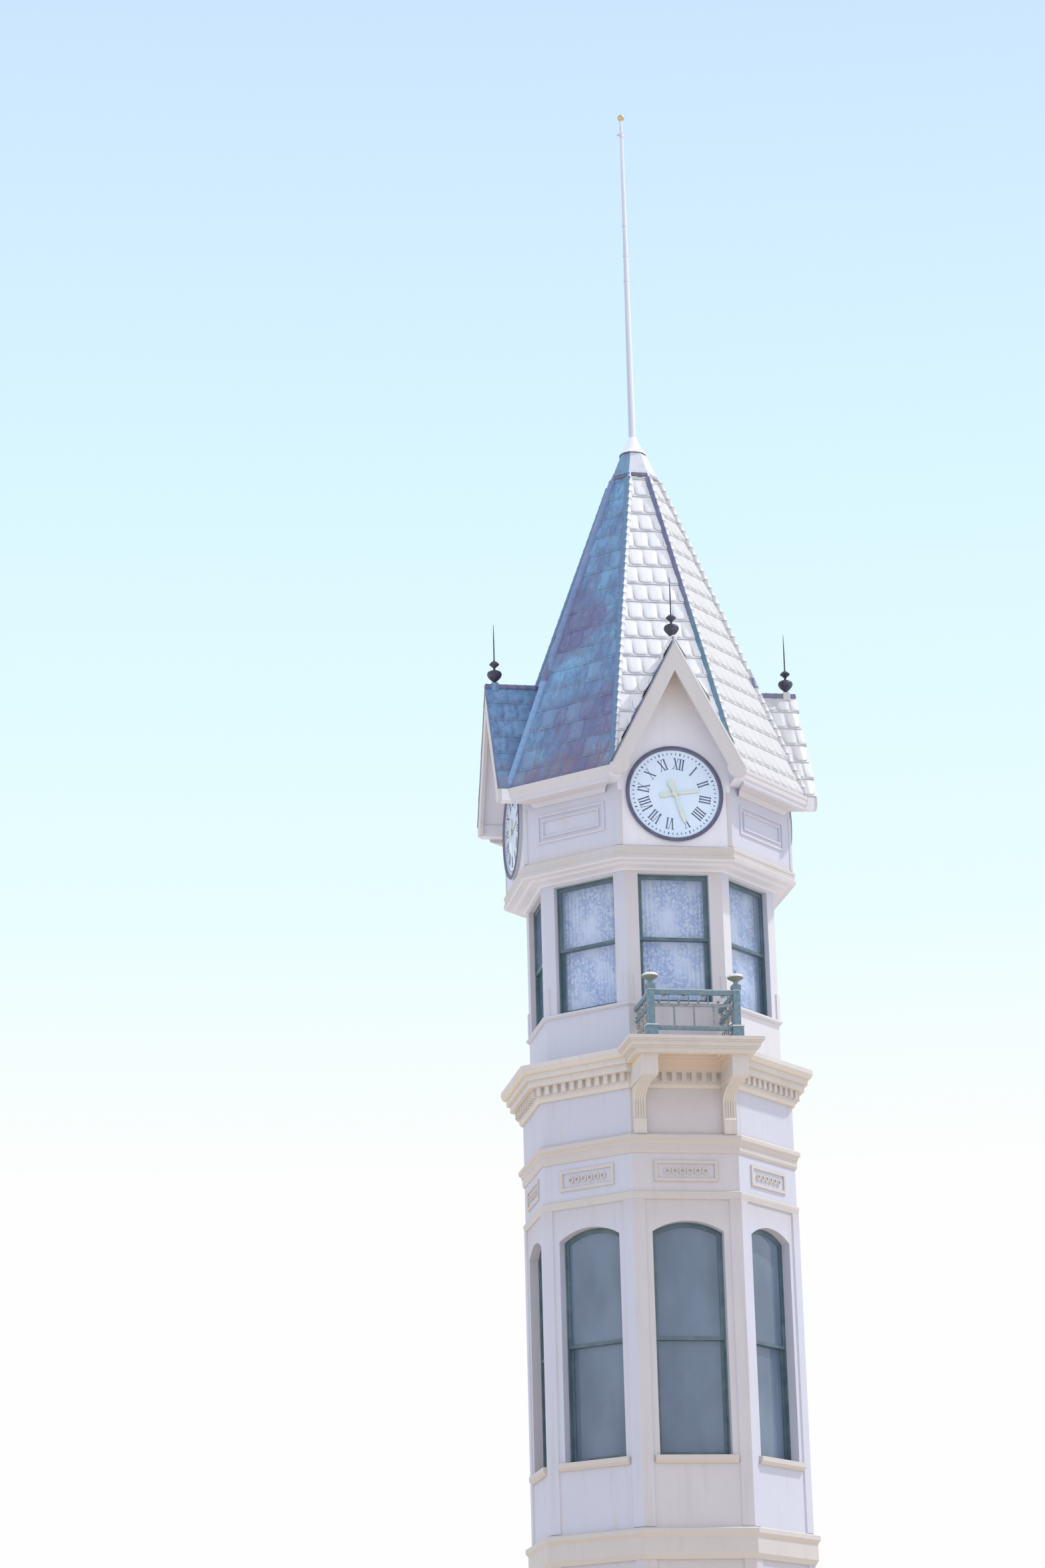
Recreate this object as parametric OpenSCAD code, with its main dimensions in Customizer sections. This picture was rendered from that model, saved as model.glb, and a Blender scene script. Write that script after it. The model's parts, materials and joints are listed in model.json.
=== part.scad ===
// Octagonal clock tower with four gabled dials and a shingled spire.
// Millimetres, +Z up. The front dial faces -Y, and the origin is the middle of the base.

/* [Storeys] */
// Height of the base course
plinth_h = 650; // [500:10:900]
// Height from the ground to the upper floor
ground_storey_h = 5700; // [5500:50:6300]
// Height from the upper floor to the top of the main cornice
upper_storey_h = 5700; // [5600:50:6300]
// Height from the main cornice to the foot of the clock storey
window_storey_h = 2360; // [2340:10:2700]
// Height from the foot of the clock storey to the eaves
clock_storey_h = 1130; // [1080:10:1300]
// Height of the dials' centres over the foot of the clock storey
dial_rise = 840; // [800:5:900]

/* [Walls] */
// Half the width of the lower shaft, from flat to flat
shaft_half = 1560; // [1540:5:1650]
// Thickness of the masonry walls
shaft_wall = 400; // [350:10:450]
// How far the window storey stands in from the shaft
window_set_in = 100; // [60:5:120]
// Thickness of the window storey's walls
window_wall = 180; // [170:5:230]
// How far the clock storey stands out from the window storey
clock_out = 230; // [210:5:260]
// Thickness of the clock storey's walls
clock_wall = 150; // [120:5:170]
// Thickness of the floors
floor_t = 150; // [120:10:200]
// How far the base course stands out
plinth_out = 80; // [40:5:120]

/* [Lower windows and door] */
// Width of the lower window openings, as a share of a face
lower_opening_share = 0.6655; // [0.58:0.0005:0.68]
// Height of the lower window openings
lower_opening_h = 2740; // [2500:10:2800]
// Rise of the segmental arch
arch_rise = 125; // [90:5:200]
// Height of a window's sill over its floor
lower_sill_h = 930; // [850:10:1000]
// Width of the door opening, as a share of a face
door_share = 0.743; // [0.70:0.001:0.76]
// Height of the door opening from the floor to its crown
door_h = 3100; // [2900:10:3300]

/* [Tower windows] */
// Width of the window openings below the clocks
tower_opening_w = 880; // [820:10:900]
// Height of the window openings below the clocks
tower_opening_h = 1610; // [1550:10:1620]
// Height of the sill over the main cornice
tower_sill_h = 650; // [640:5:680]
// Depth of the reveals
reveal = 65; // [50:5:75]
// Width of a window frame's timber
frame_w = 18; // [14:1:24]
// Depth of a window frame
frame_d = 92; // [88:1:95]
// Width of a sash's stiles and rails
sash_w = 38; // [34:1:50]
// Thickness of a sash
sash_t = 38; // [32:1:40]
// Thickness of the glass
glass_t = 6; // [4:1:8]

/* [Dials and hands] */
// Outer radius of the dial's ring
ring_r = 608; // [590:1:620]
// Width of the dial's ring
ring_w = 52; // [40:1:60]
// How far the ring stands out from the wall
ring_out = 55; // [45:1:70]
// Thickness of the dial
dial_t = 25; // [15:1:35]
// Length of the minute hand from its arbor
minute_l = 395; // [360:1:420]
// Length of the hour hand from its arbor
hour_l = 320; // [280:1:340]
// Thickness of the hands
hand_t = 5; // [4:1:8]
// Free space between the hour hand and the dial, and between the hands
hand_gap = 9; // [7:1:12]
// Radius of the minute hand's arbor
arbor_r = 13; // [10:1:15]
// Wall of the hour hand's pipe
pipe_wall = 8; // [6:1:10]
// Running clearance of the arbors
running_gap = 0.4; // [0.2:0.1:0.6]
// Angle of the minute hand at rest, clockwise from upright
minute_turn = 162; // [0:1:359]
// Angle of the hour hand at rest, clockwise from upright
hour_turn = 82; // [0:1:359]

/* [Roof] */
// How far the foot of the spire stands out from the clock storey
eave_reach = 210; // [190:5:250]
// Half the width of the spire at its smooth cap
spire_top_half = 280; // [240:5:320]
// Height of the shingled spire
spire_h = 4530; // [4300:10:4800]
// Thickness of the roof
roof_t = 70; // [60:5:90]
// How far a gable's roof passes the corners of the clock storey
gable_over = 137; // [110:1:160]
// Rise of a gable's roof
gable_rise = 1620; // [1550:10:1700]
// Depth of a gable's overhang from the wall to the face of its boards
gable_out = 342; // [300:1:380]
// Radius of the rolls on the hips and ridges
roll_r = 28; // [20:1:35]
// Thickness of the boards that line the overhangs
lining_t = 30; // [20:1:40]
// Depth of the gable boards, square to the slope
barge_d = 190; // [170:1:210]
// Thickness of the gable boards
barge_t = 40; // [30:1:60]
// Thickness of the roofing's edge over the gable boards
edge_t = 18; // [12:1:24]
// How far that edge stands out in front of the boards
drip = 8; // [5:1:12]
// Height of the eave cornice
eave_h = 190; // [160:5:200]
// How far the eave cornice stands out from the wall
eave_out = 250; // [225:5:260]

/* [Cap, pole and finials] */
// Height of the smooth cap
cap_h = 350; // [300:10:400]
// Radius of the flared cone at its rim
cone_r = 178; // [160:1:200]
// Height of the flared cone
cone_h = 260; // [200:10:320]
// Height of the flagpole over the cone
pole_h = 4640; // [4200:20:5000]
// Radius of the flagpole at its foot
pole_r = 46; // [40:1:50]
// Radius of the flagpole at its top
pole_top_r = 20; // [15:1:25]
// Radius of the ball
ball_r = 46; // [40:1:55]
// Distance of the gable finials behind the face of the gable boards
finial_back = 130; // [110:5:180]
// Height of the gable finials over the ridge
finial_h = 850; // [780:10:900]

/* [Main cornice and balcony] */
// How far the main cornice stands out from the shaft
cornice_out = 254; // [220:1:280]
// Height of the main cornice with its dentils
cornice_h = 440; // [420:5:460]
// How far the balcony stands out from the main cornice
balcony_out = 644; // [600:1:700]
// Half the width of the balcony's cornice
balcony_half = 816; // [790:1:830]
// Height of the balcony's top rail over its floor
rail_h = 580; // [540:5:640]
// Distance of the posts from the middle of the balcony
post_x = 517; // [490:1:540]
// Width of a balcony post
post_w = 80; // [60:1:90]

/* [Hidden] */
$fn = 64;

// Colours
cream = [0.84, 0.80, 0.78];
pale_cream = [0.88, 0.84, 0.80];
slate_green = [0.29, 0.40, 0.43];
glass_blue = [0.62, 0.72, 0.82, 0.5];
lace_white = [0.92, 0.93, 0.95];
dial_white = [0.84, 0.90, 0.97];
ring_slate = [0.30, 0.33, 0.43];
hand_gold = [0.85, 0.85, 0.66];
copper_teal = [0.47, 0.62, 0.64];
iron_dark = [0.23, 0.24, 0.26];
rail_green = [0.38, 0.49, 0.49];
pole_white = [0.90, 0.91, 0.92];
gilt = [0.85, 0.66, 0.30];
timber_floor = [0.55, 0.42, 0.30];

// Faces: 0 is the front, and the others follow anticlockwise from above
square_faces = [0, 2, 4, 6];
diagonal_faces = [1, 3, 5, 7];
all_faces = [0:7];
half_turn = 180 / 8;
tan_half = tan(half_turn);
joint = 0.3;
fit = 0.1;

// Widths that follow the shaft
window_half = shaft_half - window_set_in;
clock_half = window_half + clock_out;
eave_half = clock_half + eave_reach;
gable_half = round(clock_half * tan_half) + gable_over;
face_w = 2 * shaft_half * tan_half;
lower_opening_w = round(face_w * lower_opening_share);
door_w = round(face_w * door_share);
pilaster_w = round(shaft_half / 12);
pilaster_out = 18;
sill_over = 60;

// Levels
upper_z = ground_storey_h;
tower_z = upper_z + upper_storey_h;
clock_z = tower_z + window_storey_h;
eave_z = clock_z + clock_storey_h;
dial_z = clock_z + dial_rise;
gable_top_z = eave_z + gable_rise;
spire_top_z = eave_z + spire_h;
cap_top_z = spire_top_z + cap_h;
cone_top_z = cap_top_z + cone_h;
pole_top_z = cone_top_z + pole_h;
cornice_foot_z = tower_z - cornice_h;
frieze_h = 560;
string_h = 220;
low_string_h = 103;
main_string_z = cornice_foot_z - frieze_h;
low_string_z = main_string_z - 775;
sill_z = tower_z + tower_sill_h;
dial_y = clock_half + dial_t;

// Slopes of the roofs
gable_angle = atan(gable_rise / gable_half);
spire_lean = (eave_half - spire_top_half) / spire_h;
roof_drop = roof_t / cos(gable_angle);
lining_drop = (roof_t + lining_t) / cos(gable_angle);
board_drop = barge_d / cos(gable_angle);
gable_y = clock_half + gable_out;
edge_drop = edge_t / cos(gable_angle);
board_back = gable_y - drip - barge_t;
return_h = 150;
shell_w = 120;
console_w = 150;
console_block_w = 196;
console_x = round(shaft_half * tan_half) - console_block_w / 2 - 3;
floor_edge_h = 185;

module octagon(half) {
    rotate(half_turn) circle(r = half / cos(half_turn), $fn = 8);
}

module octagon_ring(outer, inner, h) {
    linear_extrude(h) difference() {
        octagon(outer);
        octagon(inner);
    }
}

// Ring with a moulded section, given as [distance out, height] points
module moulded_ring(half, section) {
    rotate(half_turn) rotate_extrude($fn = 8)
        polygon([for (p = section) [(half + p[0]) / cos(half_turn), p[1]]]);
}

// The same ring as eight straight lengths that meet in mitres
module mitred_ring(half, section) {
    reach = 2 * half;
    at_faces(all_faces) intersection() {
        translate([0, -half, 0]) rotate([90, 0, -90]) linear_extrude(2 * half, center = true) polygon(section);
        translate([0, 0, -500]) linear_extrude(1500) polygon([[0, 0], [-reach * tan_half, -reach], [reach * tan_half, -reach]]);
    }
}

// Upright slab of a drawn outline, from a distance off the axis outwards
module upright(from, depth) {
    translate([0, -from, 0]) rotate([90, 0, 0]) linear_extrude(depth) children();
}

module at_faces(list) {
    for (i = list) rotate(45 * i) children();
}

function arc_points(cx, cy, r, a0, a1, n) =
    [for (i = [0:n]) let (a = a0 + (a1 - a0) * i / n) [cx + r * cos(a), cy + r * sin(a)]];

module wall_plan(outer, inner) {
    polygon([[-outer * tan_half + fit, -outer], [outer * tan_half - fit, -outer],
        [inner * tan_half - fit, -inner], [-inner * tan_half + fit, -inner]]);
}

// Opening with a segmental head of the given radius about a centre height
module arched_shape(width, foot, centre, radius) {
    intersection() {
        translate([-width / 2, foot]) square([width, centre + radius - foot + 1]);
        union() {
            translate([0, centre]) circle(radius, $fn = 128);
            translate([-radius, foot - 1]) square([2 * radius, centre - foot + 1]);
        }
    }
}

function arch_radius(width) = (width * width / 4 + arch_rise * arch_rise) / (2 * arch_rise);

module lower_opening(floor_level, inset = 0) {
    radius = arch_radius(lower_opening_w);
    top = floor_level + lower_sill_h + lower_opening_h;
    arched_shape(lower_opening_w - 2 * inset, floor_level + lower_sill_h + inset,
        top - radius, radius - inset);
}

module door_opening(inset = 0) {
    radius = arch_radius(door_w);
    arched_shape(door_w - 2 * inset, floor_t, floor_t + door_h - radius, radius - inset);
}

module rectangle_opening(inset = 0) {
    translate([-tower_opening_w / 2 + inset, sill_z + inset])
        square([tower_opening_w - 2 * inset, tower_opening_h - 2 * inset]);
}

// Lower storeys

// Floors of the four storeys; the clock storey's carries the battens of the curtains
module floors() {
    color(timber_floor) {
        linear_extrude(floor_t) octagon(shaft_half - shaft_wall - fit);
        for (level = [upper_z, tower_z])
            translate([0, 0, level - floor_t + fit]) linear_extrude(floor_t - 2 * fit) octagon(shaft_half);
        clock_floor();
    }
}

module plinth() {
    color(cream) difference() {
        moulded_ring(shaft_half, [[fit, 0], [plinth_out, 0], [plinth_out, plinth_h - 60],
            [plinth_out - 30, plinth_h - 30], [fit, plinth_h]]);
        upright(shaft_half - 1, plinth_out + 2) translate([-door_w / 2, -1]) square([door_w, plinth_h + 2]);
    }
}

module storey_wall(foot, top) {
    inner = shaft_half - shaft_wall;
    difference() {
        translate([0, 0, foot]) linear_extrude(top - foot) wall_plan(shaft_half, inner);
        upright(inner - 1, shaft_wall + 2) children();
    }
}

module ground_walls_square() {
    color(cream) {
        at_faces([2, 4, 6]) storey_wall(0, upper_z - floor_t) lower_opening(floor_t);
        storey_wall(0, upper_z - floor_t) door_opening();
    }
}

module ground_walls_diagonal() {
    color(cream) at_faces(diagonal_faces) storey_wall(0, upper_z - floor_t) lower_opening(floor_t);
}

module upper_walls_square() {
    color(cream) at_faces(square_faces) storey_wall(upper_z, tower_z - floor_t) lower_opening(upper_z);
}

module upper_walls_diagonal() {
    color(cream) at_faces(diagonal_faces) storey_wall(upper_z, tower_z - floor_t) lower_opening(upper_z);
}

// Pair of panelled leaves below a fixed fanlight
module entrance_doors() {
    back = shaft_half - shaft_wall / 2;
    leaf_h = 2300;
    leaf_w = (door_w - 140) / 2;
    panel_w = leaf_w - 160;
    color(slate_green) difference() {
        union() {
            upright(back - frame_d, frame_d) difference() {
                door_opening();
                door_opening(70);
            }
            upright(back - 70, 45) intersection() {
                door_opening(70);
                translate([-door_w, floor_t]) square([2 * door_w, leaf_h]);
            }
            upright(back - frame_d, frame_d) translate([-door_w / 2 + 70, floor_t + leaf_h])
                square([door_w - 140, 90]);
            upright(back - 60, 8) difference() {
                door_opening(70);
                translate([-door_w, floor_t]) square([2 * door_w, leaf_h + 90]);
            }
        }
        upright(back - 45, 30) for (side = [-1, 1], share = [[0.078, 0.34], [0.491, 0.435]])
            translate([(side * leaf_w - panel_w) / 2, floor_t + share[0] * leaf_h]) square([panel_w, share[1] * leaf_h]);
        upright(back - 80, 80) translate([-2, floor_t - 1]) square([4, leaf_h + 1]);
    }
}

// Frame and two sashes of one arched window
module arched_window(floor_level) {
    front = shaft_half - 110;
    foot = floor_level + lower_sill_h;
    middle = foot + lower_opening_h / 2;
    upright(front - frame_d, frame_d) difference() {
        lower_opening(floor_level);
        lower_opening(floor_level, frame_w);
    }
    upright(front - 8 - sash_t, sash_t) intersection() {
        difference() {
            lower_opening(floor_level, frame_w);
            lower_opening(floor_level, frame_w + sash_w);
        }
        translate([-lower_opening_w, middle - sash_w / 2]) square(2 * lower_opening_w);
    }
    upright(front - 8 - 2 * sash_t, sash_t) intersection() {
        difference() {
            lower_opening(floor_level, frame_w);
            lower_opening(floor_level, frame_w + sash_w);
        }
        translate([-lower_opening_w, middle + sash_w / 2 - 2 * lower_opening_w]) square(2 * lower_opening_w);
    }
    for (k = [1, 2])
        upright(front - 8 - k * sash_t, sash_t) translate([-lower_opening_w / 2 + frame_w, middle - sash_w / 2])
            square([lower_opening_w - 2 * frame_w, sash_w]);
}

module arched_panes(floor_level) {
    front = shaft_half - 110;
    foot = floor_level + lower_sill_h;
    middle = foot + lower_opening_h / 2;
    upright(front - 8 - sash_t / 2 - glass_t / 2, glass_t) intersection() {
        lower_opening(floor_level, frame_w + sash_w);
        translate([-lower_opening_w, middle + sash_w / 2]) square(2 * lower_opening_w);
    }
    upright(front - 8 - 3 * sash_t / 2 - glass_t / 2, glass_t) intersection() {
        lower_opening(floor_level, frame_w + sash_w);
        translate([-lower_opening_w, middle - sash_w / 2 - 2 * lower_opening_w]) square(2 * lower_opening_w);
    }
}

module lower_windows() {
    color(slate_green) {
        at_faces([1:7]) arched_window(floor_t);
        at_faces(all_faces) arched_window(upper_z);
    }
}

module lower_glass() {
    color(glass_blue) {
        at_faces([1:7]) arched_panes(floor_t);
        at_faces(all_faces) arched_panes(upper_z);
    }
}

module sill_block(level) {
    translate([0, -shaft_half - fit, level]) rotate([90, 0, 90])
        translate([0, 0, -(lower_opening_w / 2 + sill_over)]) linear_extrude(lower_opening_w + 2 * sill_over)
            polygon([[0, -90], [-25, -90], [-60, -55], [-60, 0], [0, 0]]);
}

module window_sills() {
    color(pale_cream) {
        at_faces([1:7]) sill_block(floor_t + lower_sill_h);
        at_faces(all_faces) sill_block(upper_z + lower_sill_h);
    }
}

// Flat strips that wrap the shaft's corners
module corner_strip(half, width, out, foot, top) {
    rotate(half_turn) translate([0, 0, foot + fit]) linear_extrude(top - foot - 2 * fit) intersection() {
        rotate(-half_turn) difference() {
            octagon(half + out);
            octagon(half + fit);
        }
        translate([-width, -2 * half]) square([2 * width, 2 * half]);
    }
}

module corner_pilasters() {
    color(cream) {
        at_faces(all_faces) corner_strip(shaft_half, pilaster_w, pilaster_out, plinth_h, upper_z - 250);
        at_faces(all_faces) corner_strip(shaft_half, pilaster_w, pilaster_out, upper_z + 120, low_string_z);
        at_faces(all_faces) corner_strip(window_half, 62, 16, sill_z, sill_z + 330);
    }
}

module string_courses() {
    color(pale_cream) {
        translate([0, 0, upper_z - 250]) moulded_ring(shaft_half,
            [[fit, 0], [25, 0], [60, 60], [60, 250], [90, 290], [90, 340], [fit, 370]]);
        translate([0, 0, low_string_z]) moulded_ring(shaft_half, [[fit, 0], [14, 0], [26, 62], [26, 88], [fit, low_string_h]]);
        translate([0, 0, main_string_z - string_h]) moulded_ring(shaft_half,
            [[fit, 0], [12, 0], [26, 30], [26, 100], [34, 106], [44, 140], [64, 156],
             [68, 160], [68, string_h - 16], [56, string_h], [fit, string_h]]);
    }
}

// Framed panels with a row of rings under the main string course
relief_w = 770;
relief_h = 250;
relief_edge = 38;
relief_pitch = 92;
relief_r = 40;
relief_out = 20;
relief_z = (main_string_z - string_h + low_string_z + low_string_h) / 2 + 9;

module relief_panels() {
    color(pale_cream) at_faces(all_faces) upright(shaft_half + fit, relief_out) translate([0, relief_z]) {
        difference() {
            square([relief_w, relief_h], center = true);
            square([relief_w - 2 * relief_edge, relief_h - 2 * relief_edge], center = true);
        }
        for (i = [-2.5:2.5]) translate([i * relief_pitch, 0]) difference() {
            circle(relief_r);
            circle(0.58 * relief_r);
        }
    }
}

// Bed mould with its row of dentils
module dentil_course() {
    pitch = 122;
    color(cream) difference() {
        union() {
            translate([0, 0, cornice_foot_z]) mitred_ring(shaft_half, [[fit, 0], [30, 0], [48, 40], [48, 180 - fit], [fit, 180 - fit]]);
            at_faces(all_faces) for (i = [-5:5])
                translate([i * pitch - 30, -shaft_half - 100, cornice_foot_z + 80]) cube([60, 54, 100 - fit]);
        }
        for (side = [-1, 1]) translate([side * console_x - console_block_w / 2 - fit, -shaft_half - 200, cornice_foot_z - 10])
            cube([console_block_w + 2 * fit, 220, 220]);
    }
}

// Crown mould
module main_cornice() {
    color(pale_cream) translate([0, 0, cornice_foot_z]) moulded_ring(shaft_half, concat(
        [[fit, 180], [150, 180], [150, 262], [192, 262], [192, 330]],
        arc_points(cornice_out - 56, 380, 50, -90, 0, 4),
        [[cornice_out, 384], [cornice_out, cornice_h], [fit, cornice_h]]));
}

// Floor that stands out in front of the crown mould, with a stepped coffer in its underside
module balcony_floor() {
    crown = shaft_half + cornice_out + fit;
    front = crown + balcony_out;
    corner = crown * tan_half;
    edge = floor_edge_h;
    color(pale_cream) difference() {
        union() {
            for (layer = [[40, 40, 0], [60, 20, 18], [110, 50, 40]])
                let (side = balcony_half - layer[2], back = crown + corner - side + fit)
                translate([0, 0, tower_z - layer[0]]) linear_extrude(layer[1])
                    polygon([[-side, -front + layer[2]], [side, -front + layer[2]], [side, -back],
                        [corner, -crown], [-corner, -crown], [-side, -back]]);
            for (layer = [[134, 24, 70], [edge, edge - 134, 92]])
                let (side = balcony_half - layer[2] - 10, back = shaft_half + 192 + fit)
                translate([-side, -front + layer[2], tower_z - layer[0]])
                    cube([2 * side, front - layer[2] - back, layer[1]]);
        }
        for (step = [[0, 34], [45, 62], [90, 96]]) let (half = console_x - console_block_w / 2 - 12 - step[0])
            translate([-half, -front + 190 + step[0], tower_z - edge - 10])
                cube([2 * half, balcony_out - 150 - 2 * step[0], 10 + step[1]]);
    }
}

// Side outline of a bracket: foot block, a sweep that hollows out under the top block, and that block
console_top = tower_z - floor_edge_h;
console_foot = main_string_z;
console_h = console_top - console_foot;
block_foot = cornice_foot_z - console_foot;
crown_foot = block_foot + 180;
block_reach = cornice_out + balcony_out - 160;
sweep_foot = 380;
function sweep(t, inset) = [block_reach - 100 - (block_reach - 155 + inset) * cos(t),
    sweep_foot + (block_foot - sweep_foot + inset) * sin(t)];

module bracket_profile(width) {
    translate([0, -shaft_half, console_foot]) rotate([90, 0, -90]) linear_extrude(width, center = true) children();
}

module console() {
    difference() {
        union() {
            bracket_profile(console_w) polygon(concat([[fit, fit], [88, fit], [88, 170], [74, 186], [55, 200]],
                [for (i = [0:10]) sweep(9 * i, 0)], [[block_reach - 100, block_foot + 20], [fit, block_foot + 20]]));
            bracket_profile(console_block_w) polygon([[fit, block_foot], [block_reach - 14, block_foot],
                [block_reach - 14, block_foot + 14], [block_reach, block_foot + 24], [block_reach, console_h - fit],
                [150 + fit, console_h - fit], [150 + fit, crown_foot - fit], [fit, crown_foot - fit]]);
        }
        for (x = [-45, -15, 15, 45]) translate([x, 0, 0]) bracket_profile(13)
            polygon(concat([[62, 215]], [for (i = [0:8]) sweep(10.5 * i, -6)],
                [for (i = [8:-1:0]) sweep(10.5 * i, 9 - 1.25 * i)], [[46, 215]]));
    }
}

module consoles() {
    color(pale_cream) for (side = [-1, 1]) translate([side * console_x, 0, 0]) console();
}

// Window storey

module apron() {
    color(cream) {
        translate([0, 0, tower_z]) octagon_ring(window_half, window_half - window_wall, tower_sill_h - 50);
        translate([0, 0, sill_z - 50]) moulded_ring(window_half - window_wall,
            [[0, 0], [window_wall + 12, 0], [window_wall + 40, 22], [window_wall + 40, 44],
             [window_wall + 30, 50], [0, 50]]);
    }
}

module window_storey_walls() {
    color(cream) difference() {
        translate([0, 0, sill_z + fit]) octagon_ring(window_half, window_half - window_wall, clock_z - sill_z - fit);
        at_faces(all_faces) upright(window_half - window_wall - 20, window_wall + 40)
            translate([-tower_opening_w / 2, sill_z - 1]) square([tower_opening_w, tower_opening_h + 1]);
    }
}

module tower_windows() {
    front = window_half - reveal;
    color(slate_green) at_faces(all_faces) upright(front - frame_d, frame_d) difference() {
        rectangle_opening(fit);
        rectangle_opening(frame_w);
    }
}

module one_sash(foot, height, front) {
    width = tower_opening_w - 2 * frame_w;
    upright(front - sash_t, sash_t) difference() {
        translate([-width / 2 + fit, foot + fit]) square([width - 2 * fit, height - 2 * fit]);
        translate([-width / 2 + sash_w, foot + sash_w]) square([width - 2 * sash_w, height - 2 * sash_w]);
    }
}

sash_h = (tower_opening_h - 2 * frame_w + sash_w) / 2;
sash_front = window_half - reveal - 8;

module tower_sashes() {
    color(slate_green) at_faces(all_faces) {
        one_sash(sill_z + frame_w, sash_h, sash_front - sash_t);
        one_sash(sill_z + tower_opening_h - frame_w - sash_h, sash_h, sash_front);
    }
}

module one_pane(foot, front) {
    width = tower_opening_w - 2 * frame_w - 2 * sash_w;
    upright(front - sash_t / 2 - glass_t / 2, glass_t)
        translate([-width / 2 + fit, foot + sash_w + fit]) square([width - 2 * fit, sash_h - 2 * sash_w - 2 * fit]);
}

module tower_glass() {
    color(glass_blue) at_faces(all_faces) {
        one_pane(sill_z + frame_w, sash_front - sash_t);
        one_pane(sill_z + tower_opening_h - frame_w - sash_h, sash_front);
    }
}

// Plain solids for the lace that hangs from a batten over each window
curtain_t = 24;
curtain_w = 900;
batten_h = 30;
batten_z = clock_z - batten_h;

module lace_curtains() {
    inner = window_half - window_wall;
    color(lace_white) at_faces(all_faces)
        translate([-curtain_w / 2, -inner + 8, sill_z - 40]) cube([curtain_w, curtain_t, batten_z - joint - sill_z + 40]);
}

// Clock storey

module clock_corbel() {
    step = clock_half - window_half;
    color(pale_cream) translate([0, 0, clock_z]) {
        moulded_ring(window_half,
            [[fit, -70], [18, -70], [40, -50], [60, -44], [step - 90, -30], [step - 60, -8], [step, 0], [fit, 0]]);
        moulded_ring(clock_half,
            [[fit, 0], [20, 0], [38, 18], [38, 60], [26, 72], [26, 120], [34, 132], [34, 165], [fit, 190]]);
    }
}

module clock_floor() {
    translate([0, 0, clock_z + fit]) linear_extrude(60) octagon(clock_half - clock_wall - fit);
    at_faces(all_faces) translate([-curtain_w / 2 - 10, fit - (window_half - window_wall), batten_z])
        cube([curtain_w + 20, 40, batten_h + 10]);
}

// Outline of a clock wall with its gable, up to the lining of the overhang
module gable_wall_outline() {
    half = clock_half * tan_half;
    apex = gable_top_z - lining_drop - 4 * fit;
    shoulder = apex - half * tan(gable_angle);
    polygon([[-half, clock_z + fit], [half, clock_z + fit], [half, shoulder], [0, apex], [-half, shoulder]]);
}

module clock_walls_square() {
    inner = clock_half - clock_wall;
    color(cream) at_faces(square_faces) difference() {
        intersection() {
            upright(inner, clock_wall) gable_wall_outline();
            translate([0, 0, clock_z - 1]) linear_extrude(4000) wall_plan(clock_half, inner);
        }
        translate([0, 1, dial_z]) rotate([90, 0, 0]) cylinder(r = arbor_r + pipe_wall + 2 * running_gap, h = 2 * clock_half);
    }
}

// Solid space under the spire's roof, open down to the clock storey
module spire_cavity(slack = 0) {
    drop = shell_w / cos(atan(spire_lean)) + slack;
    top_half = 60;
    top = eave_z + (eave_half - drop - top_half) / spire_lean;
    translate([0, 0, eave_z]) rotate(half_turn) cylinder(r1 = (eave_half - drop) / cos(half_turn),
        r2 = top_half / cos(half_turn), h = top - eave_z, $fn = 8);
    translate([0, 0, clock_z]) rotate(half_turn)
        cylinder(r = (eave_half - drop) / cos(half_turn), h = clock_storey_h + 0.01, $fn = 8);
}

module clock_walls_diagonal() {
    inner = clock_half - clock_wall;
    color(cream) at_faces(diagonal_faces) intersection() {
        translate([0, 0, clock_z + fit]) linear_extrude(clock_storey_h + 700) wall_plan(clock_half, inner);
        spire_cavity(2 * fit);
        rotate(45) gable_clear();
        rotate(-45) gable_clear();
    }
}

// Everything outside one gable's roof, near the walls
module gable_clear() {
    difference() {
        translate([0, 0, clock_z - 10]) cylinder(r = 3 * clock_half, h = 4000, $fn = 8);
        upright(100, 3 * clock_half) polygon([[0, gable_top_z], [gable_half, eave_z], [gable_half, eave_z - 1],
            [-gable_half, eave_z - 1], [-gable_half, eave_z]]);
    }
}

// Corner boards and nested panel mouldings
module wall_trim() {
    color(pale_cream) {
        at_faces(all_faces) corner_strip(clock_half, 45, 10, clock_z + 190, eave_z - eave_h - 60);
        for (frame = [[1000, 370, 16, 30], [840, 230, 22, 20]])
            at_faces(diagonal_faces) upright(clock_half + fit, frame[2]) translate([0, dial_z - 250]) difference() {
                square([frame[0], frame[1]], center = true);
                square([frame[0] - 2 * frame[3], frame[1] - 2 * frame[3]], center = true);
            }
    }
}

module dial_faces() {
    color(dial_white) at_faces(square_faces) translate([0, -clock_half, dial_z]) rotate([90, 0, 0])
        difference() {
            cylinder(r = ring_r - ring_w, h = dial_t, $fn = 128);
            translate([0, 0, -1]) cylinder(r = arbor_r + pipe_wall + 2 * running_gap, h = dial_t + 2);
        }
}

module dial_rings() {
    color(ring_slate) at_faces(square_faces) translate([0, -clock_half, dial_z]) rotate([90, 0, 0])
        rotate_extrude($fn = 128) translate([ring_r - ring_w, 0])
            polygon([[0, 0], [ring_w, 0], [ring_w, ring_out - 12], [ring_w - 12, ring_out], [14, ring_out], [0, dial_t + 8]]);
}

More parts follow.
